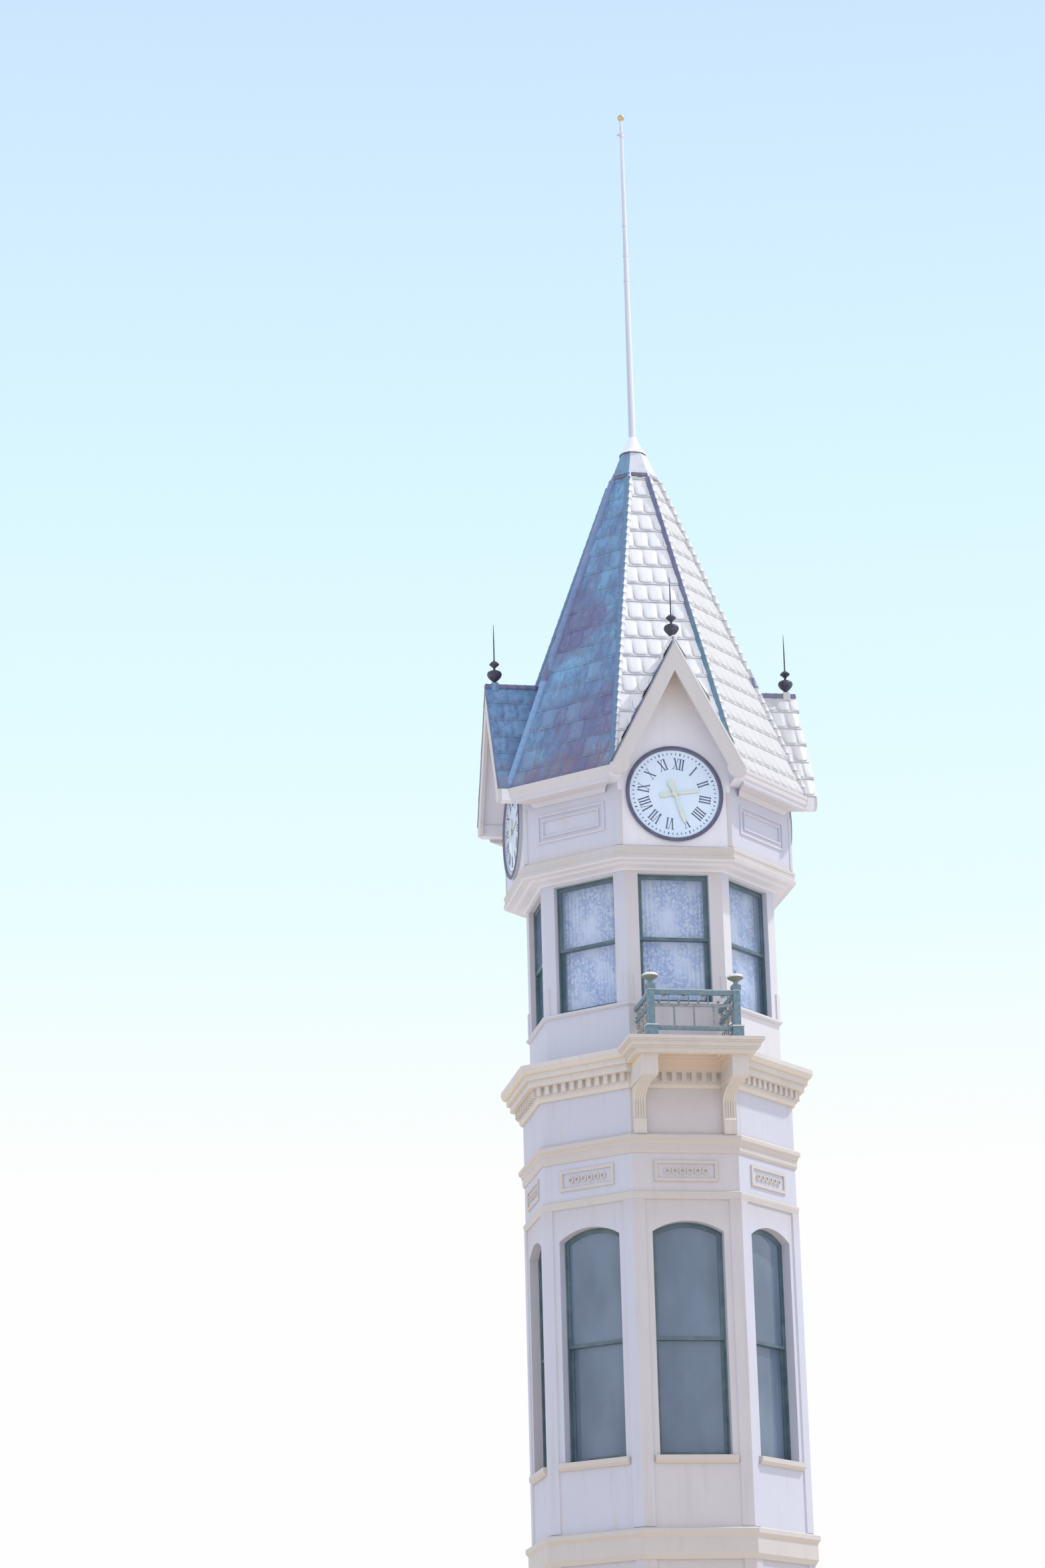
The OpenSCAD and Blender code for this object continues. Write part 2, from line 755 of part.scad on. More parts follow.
// Outline of a hand: blade, boss and broad tail, pointing up
module hand_outline(length, tail, waist, broad, boss) {
    hull() {
        translate([-waist / 2, 0]) square([waist, 10]);
        translate([-broad / 2, length * 0.72]) square([broad, 10]);
    }
    polygon([[-broad / 2, length * 0.72], [broad / 2, length * 0.72], [broad * 0.4, length * 0.95],
        [0, length], [-broad * 0.4, length * 0.95]]);
    polygon([[-waist / 2, 0], [waist / 2, 0], [broad * 0.85, -tail * 0.75], [broad * 0.7, -tail],
        [-broad * 0.7, -tail], [-broad * 0.85, -tail * 0.75]]);
    circle(boss);
}

hour_back = dial_y + hand_gap;
minute_back = hour_back + hand_t + hand_gap;
pipe_r = arbor_r + running_gap + pipe_wall;
arbor_l = clock_wall + 60;

module hour_hand(i) {
    color(hand_gold) rotate(45 * i) difference() {
        union() {
            translate([0, -hour_back, dial_z]) rotate([90, 0, 0]) linear_extrude(hand_t)
                rotate(-hour_turn) hand_outline(hour_l, 185, 22, 40, 38);
            translate([0, -hour_back - hand_t, dial_z]) rotate([-90, 0, 0])
                cylinder(r = pipe_r, h = hour_back + hand_t - clock_half + arbor_l - 30);
        }
        translate([0, -hour_back - hand_t - 1, dial_z]) rotate([-90, 0, 0])
            cylinder(r = arbor_r + running_gap, h = arbor_l + hour_back);
    }
}

module minute_hand(i) {
    color(hand_gold) rotate(45 * i) {
        translate([0, -minute_back, dial_z]) rotate([90, 0, 0]) linear_extrude(hand_t)
            rotate(-minute_turn) hand_outline(minute_l, 170, 22, 46, 34);
        translate([0, -minute_back - hand_t - 8, dial_z]) rotate([-90, 0, 0])
            cylinder(r = arbor_r, h = minute_back + hand_t + 8 - clock_half + arbor_l);
        translate([0, -minute_back - hand_t, dial_z]) rotate([90, 0, 0]) cylinder(r1 = 24, r2 = 14, h = 10);
    }
}

module front_minute_hand() {
    minute_hand(0);
}

module front_hour_hand() {
    hour_hand(0);
}

module right_minute_hand() {
    minute_hand(2);
}

module right_hour_hand() {
    hour_hand(2);
}

module back_minute_hand() {
    minute_hand(4);
}

module back_hour_hand() {
    hour_hand(4);
}

module left_minute_hand() {
    minute_hand(6);
}

module left_hour_hand() {
    hour_hand(6);
}

// Roof

// Moulded eaves of the four faces between the gables
module eave_cornice() {
    color(pale_cream) difference() {
        translate([0, 0, eave_z - eave_h]) moulded_ring(clock_half,
            [[fit, -60], [25, -60], [60, -10], [eave_out - 40, 0], [eave_out - 25, 20], [eave_out - 25, 60],
             [eave_out - 10, 80], [eave_out - 10, 130], [eave_out, 150], [eave_out, eave_h - fit], [fit, eave_h - fit]]);
        at_faces(square_faces) upright(0, 3 * clock_half)
            translate([-gable_half - fit, eave_z - 2 * eave_h]) square([2 * (gable_half + fit), 3 * eave_h]);
    }
}

// Slope of a gable as a band between two depths under its surface
module gable_band(shallow, deep, foot) {
    slope = tan(gable_angle);
    difference() {
        polygon([[0, gable_top_z - shallow], [gable_half, gable_top_z - shallow - gable_half * slope],
            [gable_half, foot], [-gable_half, foot], [-gable_half, gable_top_z - shallow - gable_half * slope]]);
        polygon([[0, gable_top_z - deep], [gable_half * 2, gable_top_z - deep - 2 * gable_half * slope],
            [-gable_half * 2, gable_top_z - deep - 2 * gable_half * slope]]);
    }
}

// Soffit boards of the overhangs and level returns beside the wall's corners
module gable_linings() {
    slope = tan(gable_angle);
    corner_x = clock_half * tan_half;
    front = board_back;
    outer_x = (gable_rise - roof_drop - 2 * fit) / slope;
    inner_x = (gable_rise - lining_drop) / slope;
    color(cream) at_faces(square_faces) {
        upright(clock_half - clock_wall, front - clock_half + clock_wall)
            polygon([[0, gable_top_z - roof_drop - 2 * fit], [-outer_x, eave_z], [-inner_x, eave_z],
                [0, gable_top_z - lining_drop], [inner_x, eave_z], [outer_x, eave_z]]);
        for (side = [-1, 1]) translate([0, 0, eave_z - return_h]) linear_extrude(return_h)
            polygon([[side * corner_x, -clock_half - 3 * fit], [side * corner_x, -front], [side * gable_half, -front],
                [side * gable_half, -clock_half + gable_half - corner_x - 3 * fit]]);
    }
}

// Plain boards on the gables' rakes, with rounded lower ends
module gable_boards() {
    slope = tan(gable_angle);
    inner_x = gable_half - 150;
    outer_x = gable_half - edge_drop / slope;
    color(pale_cream) at_faces(square_faces) upright(board_back, barge_t) union() {
        difference() {
            polygon([[0, gable_top_z - edge_drop], [outer_x, eave_z], [-outer_x, eave_z]]);
            polygon([[0, gable_top_z - board_drop], [gable_half * 2, gable_top_z - board_drop - 2 * gable_half * slope],
                [-gable_half * 2, gable_top_z - board_drop - 2 * gable_half * slope]]);
        }
        for (side = [-1, 1]) intersection() {
            translate([side * (gable_half - 95), eave_z - 15]) circle(r = 135);
            translate([side > 0 ? inner_x - 100 : -gable_half, eave_z - return_h]) square([gable_half - inner_x + 100, return_h]);
        }
    }
}

module gable_roofs() {
    pedestal_y = gable_y - finial_back;
    color(copper_teal) at_faces(square_faces) union() {
        difference() {
            union() {
                upright(200, board_back - 200) gable_band(0, roof_drop, eave_z);
                upright(board_back - 10, barge_t + drip + 10) gable_band(0, edge_drop, eave_z);
                translate([0, 0, gable_top_z]) rotate([90, 0, 0]) cylinder(r = roll_r, h = gable_y, $fn = 12);
            }
            spire_cavity();
            translate([0, 0, gable_top_z]) difference() {
                spire_body_at_origin();
                translate([0, 0, -3000]) upright(0, 3000) polygon([[0, 3000], [2 * gable_half, 3000 - 2 * gable_rise],
                    [-2 * gable_half, 3000 - 2 * gable_rise]]);
            }
        }
        translate([-45, -pedestal_y - 45, gable_top_z - 60]) cube([90, 90, 60 + roll_r + 20]);
    }
}

// The spire's outer form, moved down so that the gables' ridge level is at the origin
module spire_body_at_origin() {
    translate([0, 0, eave_z - gable_top_z]) rotate(half_turn) cylinder(r1 = eave_half / cos(half_turn),
        r2 = spire_top_half / cos(half_turn), h = spire_h, $fn = 8);
}

module spire_body(slack = 0) {
    translate([0, 0, eave_z]) rotate(half_turn) cylinder(r1 = (eave_half + slack) / cos(half_turn),
        r2 = (spire_top_half + slack) / cos(half_turn), h = spire_h, $fn = 8);
}

module under_gables() {
    at_faces(square_faces) upright(0, 2 * eave_half) polygon([[0, gable_top_z], [2 * gable_half, gable_top_z - 2 * gable_rise],
        [-2 * gable_half, gable_top_z - 2 * gable_rise]]);
}

// Eight boarded panels that meet at the hips
module spire() {
    reach = 2 * eave_half;
    color(copper_teal) for (i = all_faces) difference() {
        intersection() {
            spire_body();
            rotate(45 * i) translate([0, 0, eave_z - 10]) linear_extrude(spire_h + 20)
                polygon([[0, -4 * fit], [reach * tan_half - fit, -reach], [-reach * tan_half + fit, -reach]]);
        }
        spire_cavity();
        under_gables();
    }
}

module hip_rolls() {
    lean = atan(spire_lean / cos(half_turn));
    hip_l = spire_h / cos(lean);
    color(copper_teal) for (i = all_faces) difference() {
        intersection() {
            rotate(45 * i + half_turn) translate([0, -eave_half / cos(half_turn), eave_z])
                rotate([-lean, 0, 0]) translate([0, 0, -20]) cylinder(r = roll_r, h = hip_l + 40, $fn = 12);
            translate([0, 0, eave_z]) cylinder(r = 3 * eave_half, h = spire_h, $fn = 8);
        }
        spire_body(fit);
        under_gables();
    }
}

// Turned iron finials on the gables' ridges
module gable_finials() {
    color(iron_dark) at_faces(square_faces) translate([0, -(gable_y - finial_back), gable_top_z + roll_r + 20])
        rotate_extrude($fn = 32) polygon(concat(
            [[0, 0], [34, 0], [34, 12], [22, 20], [24, 26], [48, 46], [78, 78], [93, 108], [94, 128], [84, 150], [58, 164],
             [24, 172], [16, 182], [16, 210], [26, 220], [62, 252], [62, 262], [32, 292], [12, 302]],
            [[9, 320], [8, 560], [3, finial_h - 55], [0, finial_h - 50]]));
}

module spire_cap() {
    bore = pole_r + joint;
    neck = cone_r - 20;
    color(pole_white) union() {
        translate([0, 0, spire_top_z + fit]) moulded_ring(0, [[bore + 8, 0], [spire_top_half + 25, 0],
            [spire_top_half + 12, 40], [spire_top_half, 40], [neck, cap_h], [neck, cap_h + 8], [bore + 8, cap_h + 8]]);
        translate([0, 0, cap_top_z]) rotate_extrude($fn = 48) polygon(concat([[bore, 0], [cone_r, 0], [cone_r, 14]],
            [for (i = [1:8]) let (t = i / 8) [cone_r - (cone_r - pole_r - 6) * pow(t, 0.7), 14 + (cone_h - 14) * t]],
            [[bore, cone_h]]));
    }
}

function pole_radius(z) = pole_r - (pole_r - pole_top_r) * (z - cone_top_z) / pole_h;

module flagpole() {
    color(pole_white) {
        translate([0, 0, spire_top_z]) cylinder(r = pole_r, h = cap_h + cone_h);
        translate([0, 0, cone_top_z]) cylinder(r1 = pole_r, r2 = pole_top_r, h = pole_h);
        for (level = [2250, 2620, 3060]) translate([0, 0, cone_top_z + level])
            cylinder(r = pole_radius(cone_top_z + level) + 5, h = 30);
        translate([0, 0, pole_top_z - 240]) cylinder(r = pole_top_r + 10, h = 45);
        translate([-62, -9, pole_top_z - 226]) cube([124, 18, 18]);
        translate([-9, -62, pole_top_z - 226]) cube([18, 124, 18]);
    }
}

module pole_ball() {
    color(gilt) translate([0, 0, pole_top_z]) difference() {
        translate([0, 0, ball_r - 6]) sphere(ball_r);
        translate([-ball_r, -ball_r, -2 * ball_r]) cube([2 * ball_r, 2 * ball_r, 2 * ball_r]);
    }
}

// Balcony

balcony_y = shaft_half + cornice_out + balcony_out - 130;
base_out = 32;

module balcony_post() {
    w = post_w / 2;
    translate([-w - 25, -w - 25, 0]) cube([post_w + 50, post_w + 50, 130]);
    translate([-w - base_out, -w - base_out, 130]) cube([post_w + 2 * base_out, post_w + 2 * base_out, 16]);
    translate([-w, -w, 146]) cube([post_w, post_w, rail_h - 140]);
    translate([-w - 13, -w - 13, rail_h + 6]) cube([post_w + 26, post_w + 26, 52]);
    translate([0, 0, rail_h + 58]) rotate_extrude($fn = 24) polygon(concat(
        [[0, 0], [38, 0], [38, 12], [27, 20], [27, 48], [55, 62], [92, 84], [98, 94]],
        [for (i = [0:6]) let (t = 13.5 * i) [98 * cos(t), 102 + 42 * sin(t)]],
        [[9, 148], [5, 182], [0, 186]]));
}

module balcony_posts() {
    color(rail_green) for (side = [-1, 1]) translate([side * post_x, -balcony_y, tower_z + fit]) balcony_post();
}

// Rails, bars and knobs between two ends; the bottom rail stops short of the posts' blocks
module rail_panel(length, count, short_left, short_right) {
    for (level = [[rail_h - 64, 64, 40], [rail_h - 206, 36, 24]])
        translate([0, -level[2] / 2, level[0]]) cube([length, level[2], level[1]]);
    translate([short_left, -18, 89]) cube([length - short_left - short_right, 36, 48]);
    for (i = [1:count - 1]) translate([length * i / count - 9, -9, 100]) cube([18, 18, rail_h - 290]);
    for (i = [0:count - 1]) translate([length * (i + 0.74) / count - 7, -7, rail_h - 180]) cube([14, 14, 130]);
    for (i = [0:count - 1]) translate([length * (i + 0.24) / count, 0, rail_h - 175]) rotate_extrude($fn = 12)
        polygon([[0, 0], [9, 0], [9, 14], [23, 26], [23, 33], [8, 42], [5, 50], [0, 52]]);
}

module balcony_railing() {
    front_l = 2 * post_x - post_w;
    side_l = balcony_y - post_w / 2 - window_half;
    color(rail_green) {
        translate([-front_l / 2 + fit, -balcony_y, tower_z]) rail_panel(front_l - 2 * fit, 4, base_out, base_out);
        for (side = [-1, 1]) translate([side * post_x, -window_half - fit, tower_z])
            rotate(-90) rail_panel(side_l - 2 * fit, 4, 0, base_out);
    }
}

floors();
plinth();
ground_walls_square();
ground_walls_diagonal();
entrance_doors();
upper_walls_square();
upper_walls_diagonal();
lower_windows();
lower_glass();
window_sills();
corner_pilasters();
string_courses();
relief_panels();
dentil_course();
main_cornice();
balcony_floor();
consoles();
apron();
window_storey_walls();
tower_windows();
tower_sashes();
tower_glass();
lace_curtains();
clock_corbel();
clock_walls_square();
clock_walls_diagonal();
wall_trim();
dial_faces();
dial_rings();
front_minute_hand();
front_hour_hand();
right_minute_hand();
right_hour_hand();
back_minute_hand();
back_hour_hand();
left_minute_hand();
left_hour_hand();
eave_cornice();
gable_linings();
gable_boards();
gable_roofs();
spire();
hip_rolls();
gable_finials();
spire_cap();
flagpole();
pole_ball();
balcony_posts();
balcony_railing();
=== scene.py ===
"""Octagonal clock tower: shingled spire, painted walls, dials, lace and railing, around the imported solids.

Metres, +Z up. Face 0 looks along -Y, and the others follow anticlockwise from above. In the finishes x, y and z are a
point's place on the tower, so that z.step(15.3, 16.3) is a change between those two heights over the ground.
"""

import json
from functools import cached_property
from math import atan, ceil, cos, floor, pi, radians, sin, sqrt, tan

import bmesh
import bpy
import numpy as np
from mathutils import Matrix


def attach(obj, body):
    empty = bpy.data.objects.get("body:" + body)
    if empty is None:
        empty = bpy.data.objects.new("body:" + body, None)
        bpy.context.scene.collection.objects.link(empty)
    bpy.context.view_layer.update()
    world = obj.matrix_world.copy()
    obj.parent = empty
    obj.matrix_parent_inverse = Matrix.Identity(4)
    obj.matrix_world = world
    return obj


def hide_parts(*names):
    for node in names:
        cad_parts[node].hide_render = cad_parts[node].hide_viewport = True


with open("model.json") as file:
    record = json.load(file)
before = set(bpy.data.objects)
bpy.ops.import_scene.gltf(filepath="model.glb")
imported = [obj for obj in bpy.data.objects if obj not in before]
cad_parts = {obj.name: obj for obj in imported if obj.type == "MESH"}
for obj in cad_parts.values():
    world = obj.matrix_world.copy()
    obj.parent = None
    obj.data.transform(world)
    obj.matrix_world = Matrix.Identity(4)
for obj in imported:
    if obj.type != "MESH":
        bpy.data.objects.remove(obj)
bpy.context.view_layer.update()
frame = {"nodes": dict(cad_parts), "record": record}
TOWER = "tower"
COS_HALF = cos(pi / 8)
TAN_HALF = tan(pi / 8)
DIAGONAL = sqrt(0.5)
GABLE_FACES = (0, 2, 4, 6)

# Sizes of the tower, as its source gives them: a half is a distance from the axis to a face
WINDOW_HALF = 1.46
TOWER_Z = 11.4
CLOCK_Z = 13.76
DIAL_Z = 14.6
DIAL_Y = 1.715
GABLE_TOP_Z = 16.51
GABLE_HALF = 0.837
GABLE_Y = 2.032
EAVE_Z = 14.89
EAVE_HALF = 1.9
SPIRE_TOP_HALF = 0.28
SPIRE_TOP_Z = 19.42
CAP_TOP_Z = 19.77
BALCONY_Y = 2.328
POST_X = 0.517
POST_W = 0.08
POST_CAP_Z = 12.08
SPIRE_LEAN = (EAVE_HALF - SPIRE_TOP_HALF) / (SPIRE_TOP_Z - EAVE_Z)
GABLE_RISE = GABLE_TOP_Z - EAVE_Z

# Sizes of the shingles and of the caps on the hips
EXPOSURE = 0.2972
PLATE_W = 0.189
PLATE_FOOT = 0.026
CORNER_R = 0.048
LAP = 0.007
BEAD_PITCH = 0.125

# Directions and colours of the finishes: SHADE lies between the two faces in the shade, SHADED_FACES ends at their hips
SHADE = (-0.924, -0.383)
SHADED_FACES = (0.7, 0.7142)
BOARD_WHITE = (0.675, 0.64, 0.67)
# SHADE_WHITE and the three whites after it are painted light: the blue of shade, the blue of a cast shadow, the pale of
# sunlight, and a warm bounce light
SHADE_WHITE = (0.585, 0.61, 0.72)
SHADOW_WHITE = (0.595, 0.615, 0.725)
SUNLIT_WHITE = (0.76, 0.735, 0.75)
BOUNCE_WHITE = (0.62, 0.56, 0.525)

# Heights of the darker warm bands just under each moulding: their start, where they are full, and their sharp end
UNDER_MOULDING_BANDS = ((4.95, 5.42, 5.46, 5.6), (9.2, 9.67, 9.68, 9.78), (10.15, 10.38, 10.4, 10.46))


def arithmetic(operation, swapped=False):
    """A method of Flow that makes a Math node of the flow and, where it gets one, a second value."""
    def method(self, *other):
        values = (*other, self) if swapped else (self, *other)
        return self.nodes.node("Math", dict(enumerate(values)), operation=operation)
    return method


class Flow:
    """A number or a vector on its way between nodes, so that sums of them read as sums."""

    def __init__(self, nodes, socket):
        self.nodes, self.socket = nodes, socket

    __add__ = __radd__ = arithmetic("ADD")
    __sub__, __rsub__ = arithmetic("SUBTRACT"), arithmetic("SUBTRACT", swapped=True)
    __mul__ = __rmul__ = arithmetic("MULTIPLY")
    __truediv__, __pow__ = arithmetic("DIVIDE"), arithmetic("POWER")
    __abs__, sine = arithmetic("ABSOLUTE"), arithmetic("SINE")
    fraction, whole = arithmetic("FRACT"), arithmetic("FLOOR")
    at_least, at_most = arithmetic("MAXIMUM"), arithmetic("MINIMUM")

    def step(self, low, high):
        """0 below low, 1 above high, and a smooth rise between them; falls instead where low is above high."""
        flip = low > high
        near, far = (high, low) if flip else (low, high)
        values = {"Value": self, "From Min": near, "From Max": far, "To Min": float(flip), "To Max": float(not flip)}
        return self.nodes.node("MapRange", values, interpolation_type="SMOOTHSTEP", clamp=True)

    def band(self, start, full, last, end):
        """0 up to start, 1 from full to last, and 0 again from end."""
        return self.step(start, full) * self.step(end, last)

    def tint(self, low, high, first, second):
        """The first colour below low, the second above high, and a smooth change between them."""
        return self.nodes.mix(self.step(low, high), first, second)

    def layered(self, *layers):
        """This colour under (share, colour) layers, the last one on top."""
        colour = self
        for share, over in layers:
            colour = self.nodes.mix(share, colour, over)
        return colour


class Nodes:
    """A tree of nodes: node() makes one, links the flows that it is given and sets the rest of its sockets."""

    def __init__(self, tree):
        self.tree = tree

    def node(self, kind, sockets, output=0, **settings):
        made = self.tree.nodes.new("ShaderNode" + kind)
        across, down = len(self.tree.nodes) % 9, len(self.tree.nodes) // 9
        made.location = (-300 - 260 * across, -220 * down)
        for key, value in settings.items():
            setattr(made, key, value)
        self.feed(made.inputs, sockets)
        return Flow(self, made.outputs[output])

    def feed(self, inputs, values):
        for key, value in values.items():
            if isinstance(value, Flow):
                self.tree.links.new(value.socket, inputs[key])
            else:
                inputs[key].default_value = value

    def parts(self, vector):
        outputs = self.node("SeparateXYZ", {0: vector}).socket.node.outputs
        return [Flow(self, outputs[k]) for k in range(3)]

    def mix(self, share, first, second):
        """The first colour where share is 0, the second where it is 1; a colour is a flow or three numbers."""
        first, second = (colour if isinstance(colour, Flow) else (*colour, 1) for colour in (first, second))
        return self.node("Mix", {0: share, 6: first, 7: second}, 2, data_type="RGBA")


class Finish(Nodes):
    """One procedural material, with a point's place, chart and normal ready as flows."""

    def __init__(self, name, gloss=0.5, **inputs):
        self.material = bpy.data.materials.new(name)
        self.material.use_nodes = True
        super().__init__(self.material.node_tree)
        self.shader = next(n for n in self.tree.nodes if n.type == "BSDF_PRINCIPLED")
        self.give(Specular_IOR_Level=gloss, **inputs)

    @cached_property
    def place(self):
        return self.node("TexCoord", {}, "Object")

    @cached_property
    def xyz(self):
        return self.parts(self.place)

    @cached_property
    def chart(self):
        return self.node("TexCoord", {}, "UV")

    @cached_property
    def normal(self):
        return self.parts(self.node("NewGeometry", {}, "Normal"))

    @cached_property
    def downward(self):
        """1 on faces that look straight down, 0 on walls."""
        return self.normal[2].step(-0.15, -0.85)

    @cached_property
    def bearings(self):
        """How far a place lies towards +X and towards SHADE from the tower's axis, as a cosine."""
        x, y, _ = self.xyz
        radius = ((x * x + y * y) ** 0.5).at_least(0.03)
        east, north = x / radius, y / radius
        return east, east * SHADE[0] + north * SHADE[1]

    def facing(self, x, y):
        """How far a surface faces along (x, y): 1 straight at it, 0 side-on."""
        return self.normal[0] * x + self.normal[1] * y

    def scaled(self, vector, scale, shift=(0, 0, 0)):
        return self.node("Mapping", {"Vector": vector, "Scale": scale, "Location": shift})

    def noise(self, scale, detail=4.0, rough=0.6, at=None):
        vector = self.place if at is None else at
        return self.node("TexNoise", {"Vector": vector, "Scale": scale, "Detail": detail, "Roughness": rough})

    def grain(self, across, up, detail=4.0, rough=0.6, shift=(0, 0, 0)):
        """Noise drawn out along Z: across is its scale along X and Y, and up the one along Z."""
        return self.noise(1.0, detail, rough, self.scaled(self.place, (across, across, up), shift))

    def cells(self, vector, scale):
        return self.node("TexVoronoi", {"Vector": vector, "Scale": scale}, feature="F1")

    def give(self, **inputs):
        self.feed(self.shader.inputs, {name.replace("_", " "): value for name, value in inputs.items()})

    def done(self, colour, rough, height, distance, strength=0.5, **inputs):
        """The material, with its colour and roughness and a relief of the distance in metres times the height."""
        bump = self.node("Bump", {"Height": height, "Distance": distance, "Strength": strength})
        self.give(Base_Color=colour, Roughness=rough, Normal=bump, **inputs)
        return self.material


def soiling_and_light(f, light, dark, stain, warm=0.35, cool=0.62):
    """Paint's colour over a large wall: broad clouds, upright runs of rain and a fine speckle of dust, under painted
    light and shade.

    The faces turned from the sun, on the -X side, are painted a cool blue as their shade, and the faces at -Y are
    painted warm as light bounced from the ground. On the face next to the front on the +X side the window storey is
    painted pale as sunlight, and the storeys above and below it are painted a cool blue as cast shadow.
    """
    z = f.xyz[2]
    runs = f.grain(9.0, 0.7).step(0.52, 0.74) * abs(f.normal[2]).step(0.5, 0.2)
    dust = f.noise(38.0, 2.0, 0.5).step(0.6, 0.85)
    in_cast_shadow = z.step(CLOCK_Z - 0.56, CLOCK_Z - 0.06).at_least(z.step(TOWER_Z, TOWER_Z - 0.1))
    # The layers are painted shade, then painted cast shadow or sunlight, then painted warm bounce light, and last the
    # real stains of rain and dust
    return f.noise(1.3).tint(0.35, 0.68, light, dark).layered(
        (f.facing(*SHADE).step(0.45, 0.9) * cool, SHADE_WHITE),
        (f.facing(DIAGONAL, -DIAGONAL).step(0.88, 0.96) * cool, f.mix(in_cast_shadow, SUNLIT_WHITE, SHADOW_WHITE)),
        (f.facing(0.1, -1.0).step(0.86, 0.96) * warm, BOUNCE_WHITE),
        (runs * 0.42 + dust * 0.18, stain))


def wall_paint():
    """Dull paint on render: cool white with lavender clouds, and a darker warm band just under each moulding."""
    f = Finish("wall_paint")
    low, middle, high = (f.xyz[2].band(*band) for band in UNDER_MOULDING_BANDS)
    under = low.at_least(middle).at_least(high)
    rough = f.noise(14.0, 5.0)
    colour = soiling_and_light(f, (0.655, 0.615, 0.64), (0.62, 0.58, 0.61), (0.545, 0.49, 0.48))
    colour = f.mix(under * (0.2 + rough * 0.4), colour, (0.54, 0.47, 0.42))
    return f.done(colour, 0.62 + rough * 0.2, f.noise(90.0) + rough * 0.6, 0.0016, 0.6)


def board_paint(name="board_paint", corbel_pale_share=0.0):
    """Satin paint on boards: cool white with brush marks, and warm where a face looks down, as painted bounce light.

    Below the eaves the painted blue shade is stronger, and from the eaves up the boards are warmer. Just above the
    corbel lies a warmer, darker patchy band, and below the clock storey the paint takes a paler, cooler colour by the
    share that the caller gives.
    """
    f = Finish(name, 0.4)
    z = f.xyz[2]
    brushed = f.grain(30.0, 5.0)
    under_eaves, eaves = z.step(14.82, 14.7), z.step(14.72, 14.8)
    corbel, over_corbel = z.step(CLOCK_Z + 0.03, CLOCK_Z), z.band(CLOCK_Z, CLOCK_Z + 0.02, 13.9, 14.05)
    patchy = 0.5 + f.grain(2.2, 1.2).step(0.35, 0.7) * 0.35
    # Share of painted blue shade, stronger below the eaves
    cool = under_eaves * 0.5 + 0.12
    colour = soiling_and_light(f, BOARD_WHITE, (0.64, 0.605, 0.64), (0.575, 0.53, 0.53), cool=cool).layered(
        (over_corbel * patchy, (0.61, 0.54, 0.48)),
        (corbel * corbel_pale_share, (0.83, 0.805, 0.855)),
        (eaves * 0.45, (0.68, 0.63, 0.58)),
        # Painted warm bounce light on faces that look down
        (f.downward * 0.4, (0.76, 0.71, 0.68)))
    return f.done(colour, 0.48 + brushed * 0.2, brushed, 0.0008)


def gable_paint():
    """Paint inside the gables: a cool white near the dial, and a warm beige up under the ridge as painted shade."""
    f = Finish("gable_paint", 0.4)
    z = f.xyz[2]
    brushed = f.grain(30.0, 5.0)
    under_ridge_shade, foot = z.step(15.3, 16.3), z.step(14.1, 13.85)
    colour = soiling_and_light(f, (0.86, 0.84, 0.88), (0.83, 0.81, 0.85), (0.76, 0.72, 0.72), warm=0.0).layered(
        # Painted warm shade up under the ridge
        (under_ridge_shade * (0.45 + brushed * 0.3), (0.88, 0.765, 0.61)),
        (foot * 0.5, BOARD_WHITE))
    return f.done(colour, 0.5 + brushed * 0.2, brushed, 0.0008)


def trim_paint(name="trim_paint", bounce_share=1.0):
    """Satin paint on mouldings: cream, with upright drips and dust on the fillets.

    Faces that look down are painted warm as bounce light, by the share that the caller gives and most below the main
    cornice, and the balcony's coffer is painted an even tan as the shade in its recess. The bed of the cornice is cream
    too, and the trim below it is greyer.
    """
    f = Finish(name, 0.4)
    x, y, z = f.xyz
    fine = f.noise(60.0)
    drips = f.grain(14.0, 1.6).step(0.55, 0.8) * abs(f.normal[2]).step(0.3, 0.1)
    warm_bounce = 0.3 + z.step(11.7, 11.3) * 0.6
    coffer = abs(x).step(0.66, 0.65) * y.step(-2.3, -2.29) * z.band(11.15, 11.16, 11.39, 11.398)
    bed, below_bed = z.band(10.42, 10.46, 10.9, 11.05), z.step(10.44, 10.4)
    colour = soiling_and_light(f, (0.7, 0.65, 0.595), (0.655, 0.605, 0.56), (0.56, 0.49, 0.44), cool=0.12).layered(
        (drips * 0.3, (0.58, 0.5, 0.44)),
        # Painted warm bounce light on faces that look down
        (f.downward * warm_bounce * bounce_share, (0.76, 0.64, 0.5)),
        # Painted shade in the balcony's coffer, an even tan
        (coffer * 0.85, (0.8, 0.665, 0.535)),
        (bed * 0.35, (0.74, 0.66, 0.57)),
        (below_bed * 0.45, (0.56, 0.5, 0.47)))
    return f.done(colour, 0.5 + fine * 0.2, fine, 0.0008)


def joinery_paint():
    """Slate green gloss on sashes: in clouds of two greens, with chips at small spots and brush marks along the grain.
    """
    f = Finish("joinery_paint", Coat_Weight=0.2, Coat_Roughness=0.2)
    brushed = f.grain(60.0, 8.0, 3.0, 0.5)
    chips = f.noise(120.0, 2.0, 0.5).step(0.7, 0.74)
    colour = f.noise(5.0).tint(0.35, 0.7, (0.078, 0.128, 0.155), (0.125, 0.19, 0.215))
    colour = f.mix(chips * 0.5, colour, (0.42, 0.42, 0.38))
    return f.done(colour, 0.35 + brushed * 0.25, brushed, 0.0006)


def old_glass(name, rough, waves, film, colours, cover, dust):
    """Old drawn glass whose colour, in slow waves, is a painted reflection: it covers what is behind by the shares
    cover and dust.
    """
    f = Finish(name, 0.8, IOR=1.5)
    waves = f.grain(*waves, 2.0, 0.4)
    return f.done(waves.tint(0.3, 0.7, *colours), rough, waves, 0.02, 0.4, Alpha=cover + f.noise(film) * dust)


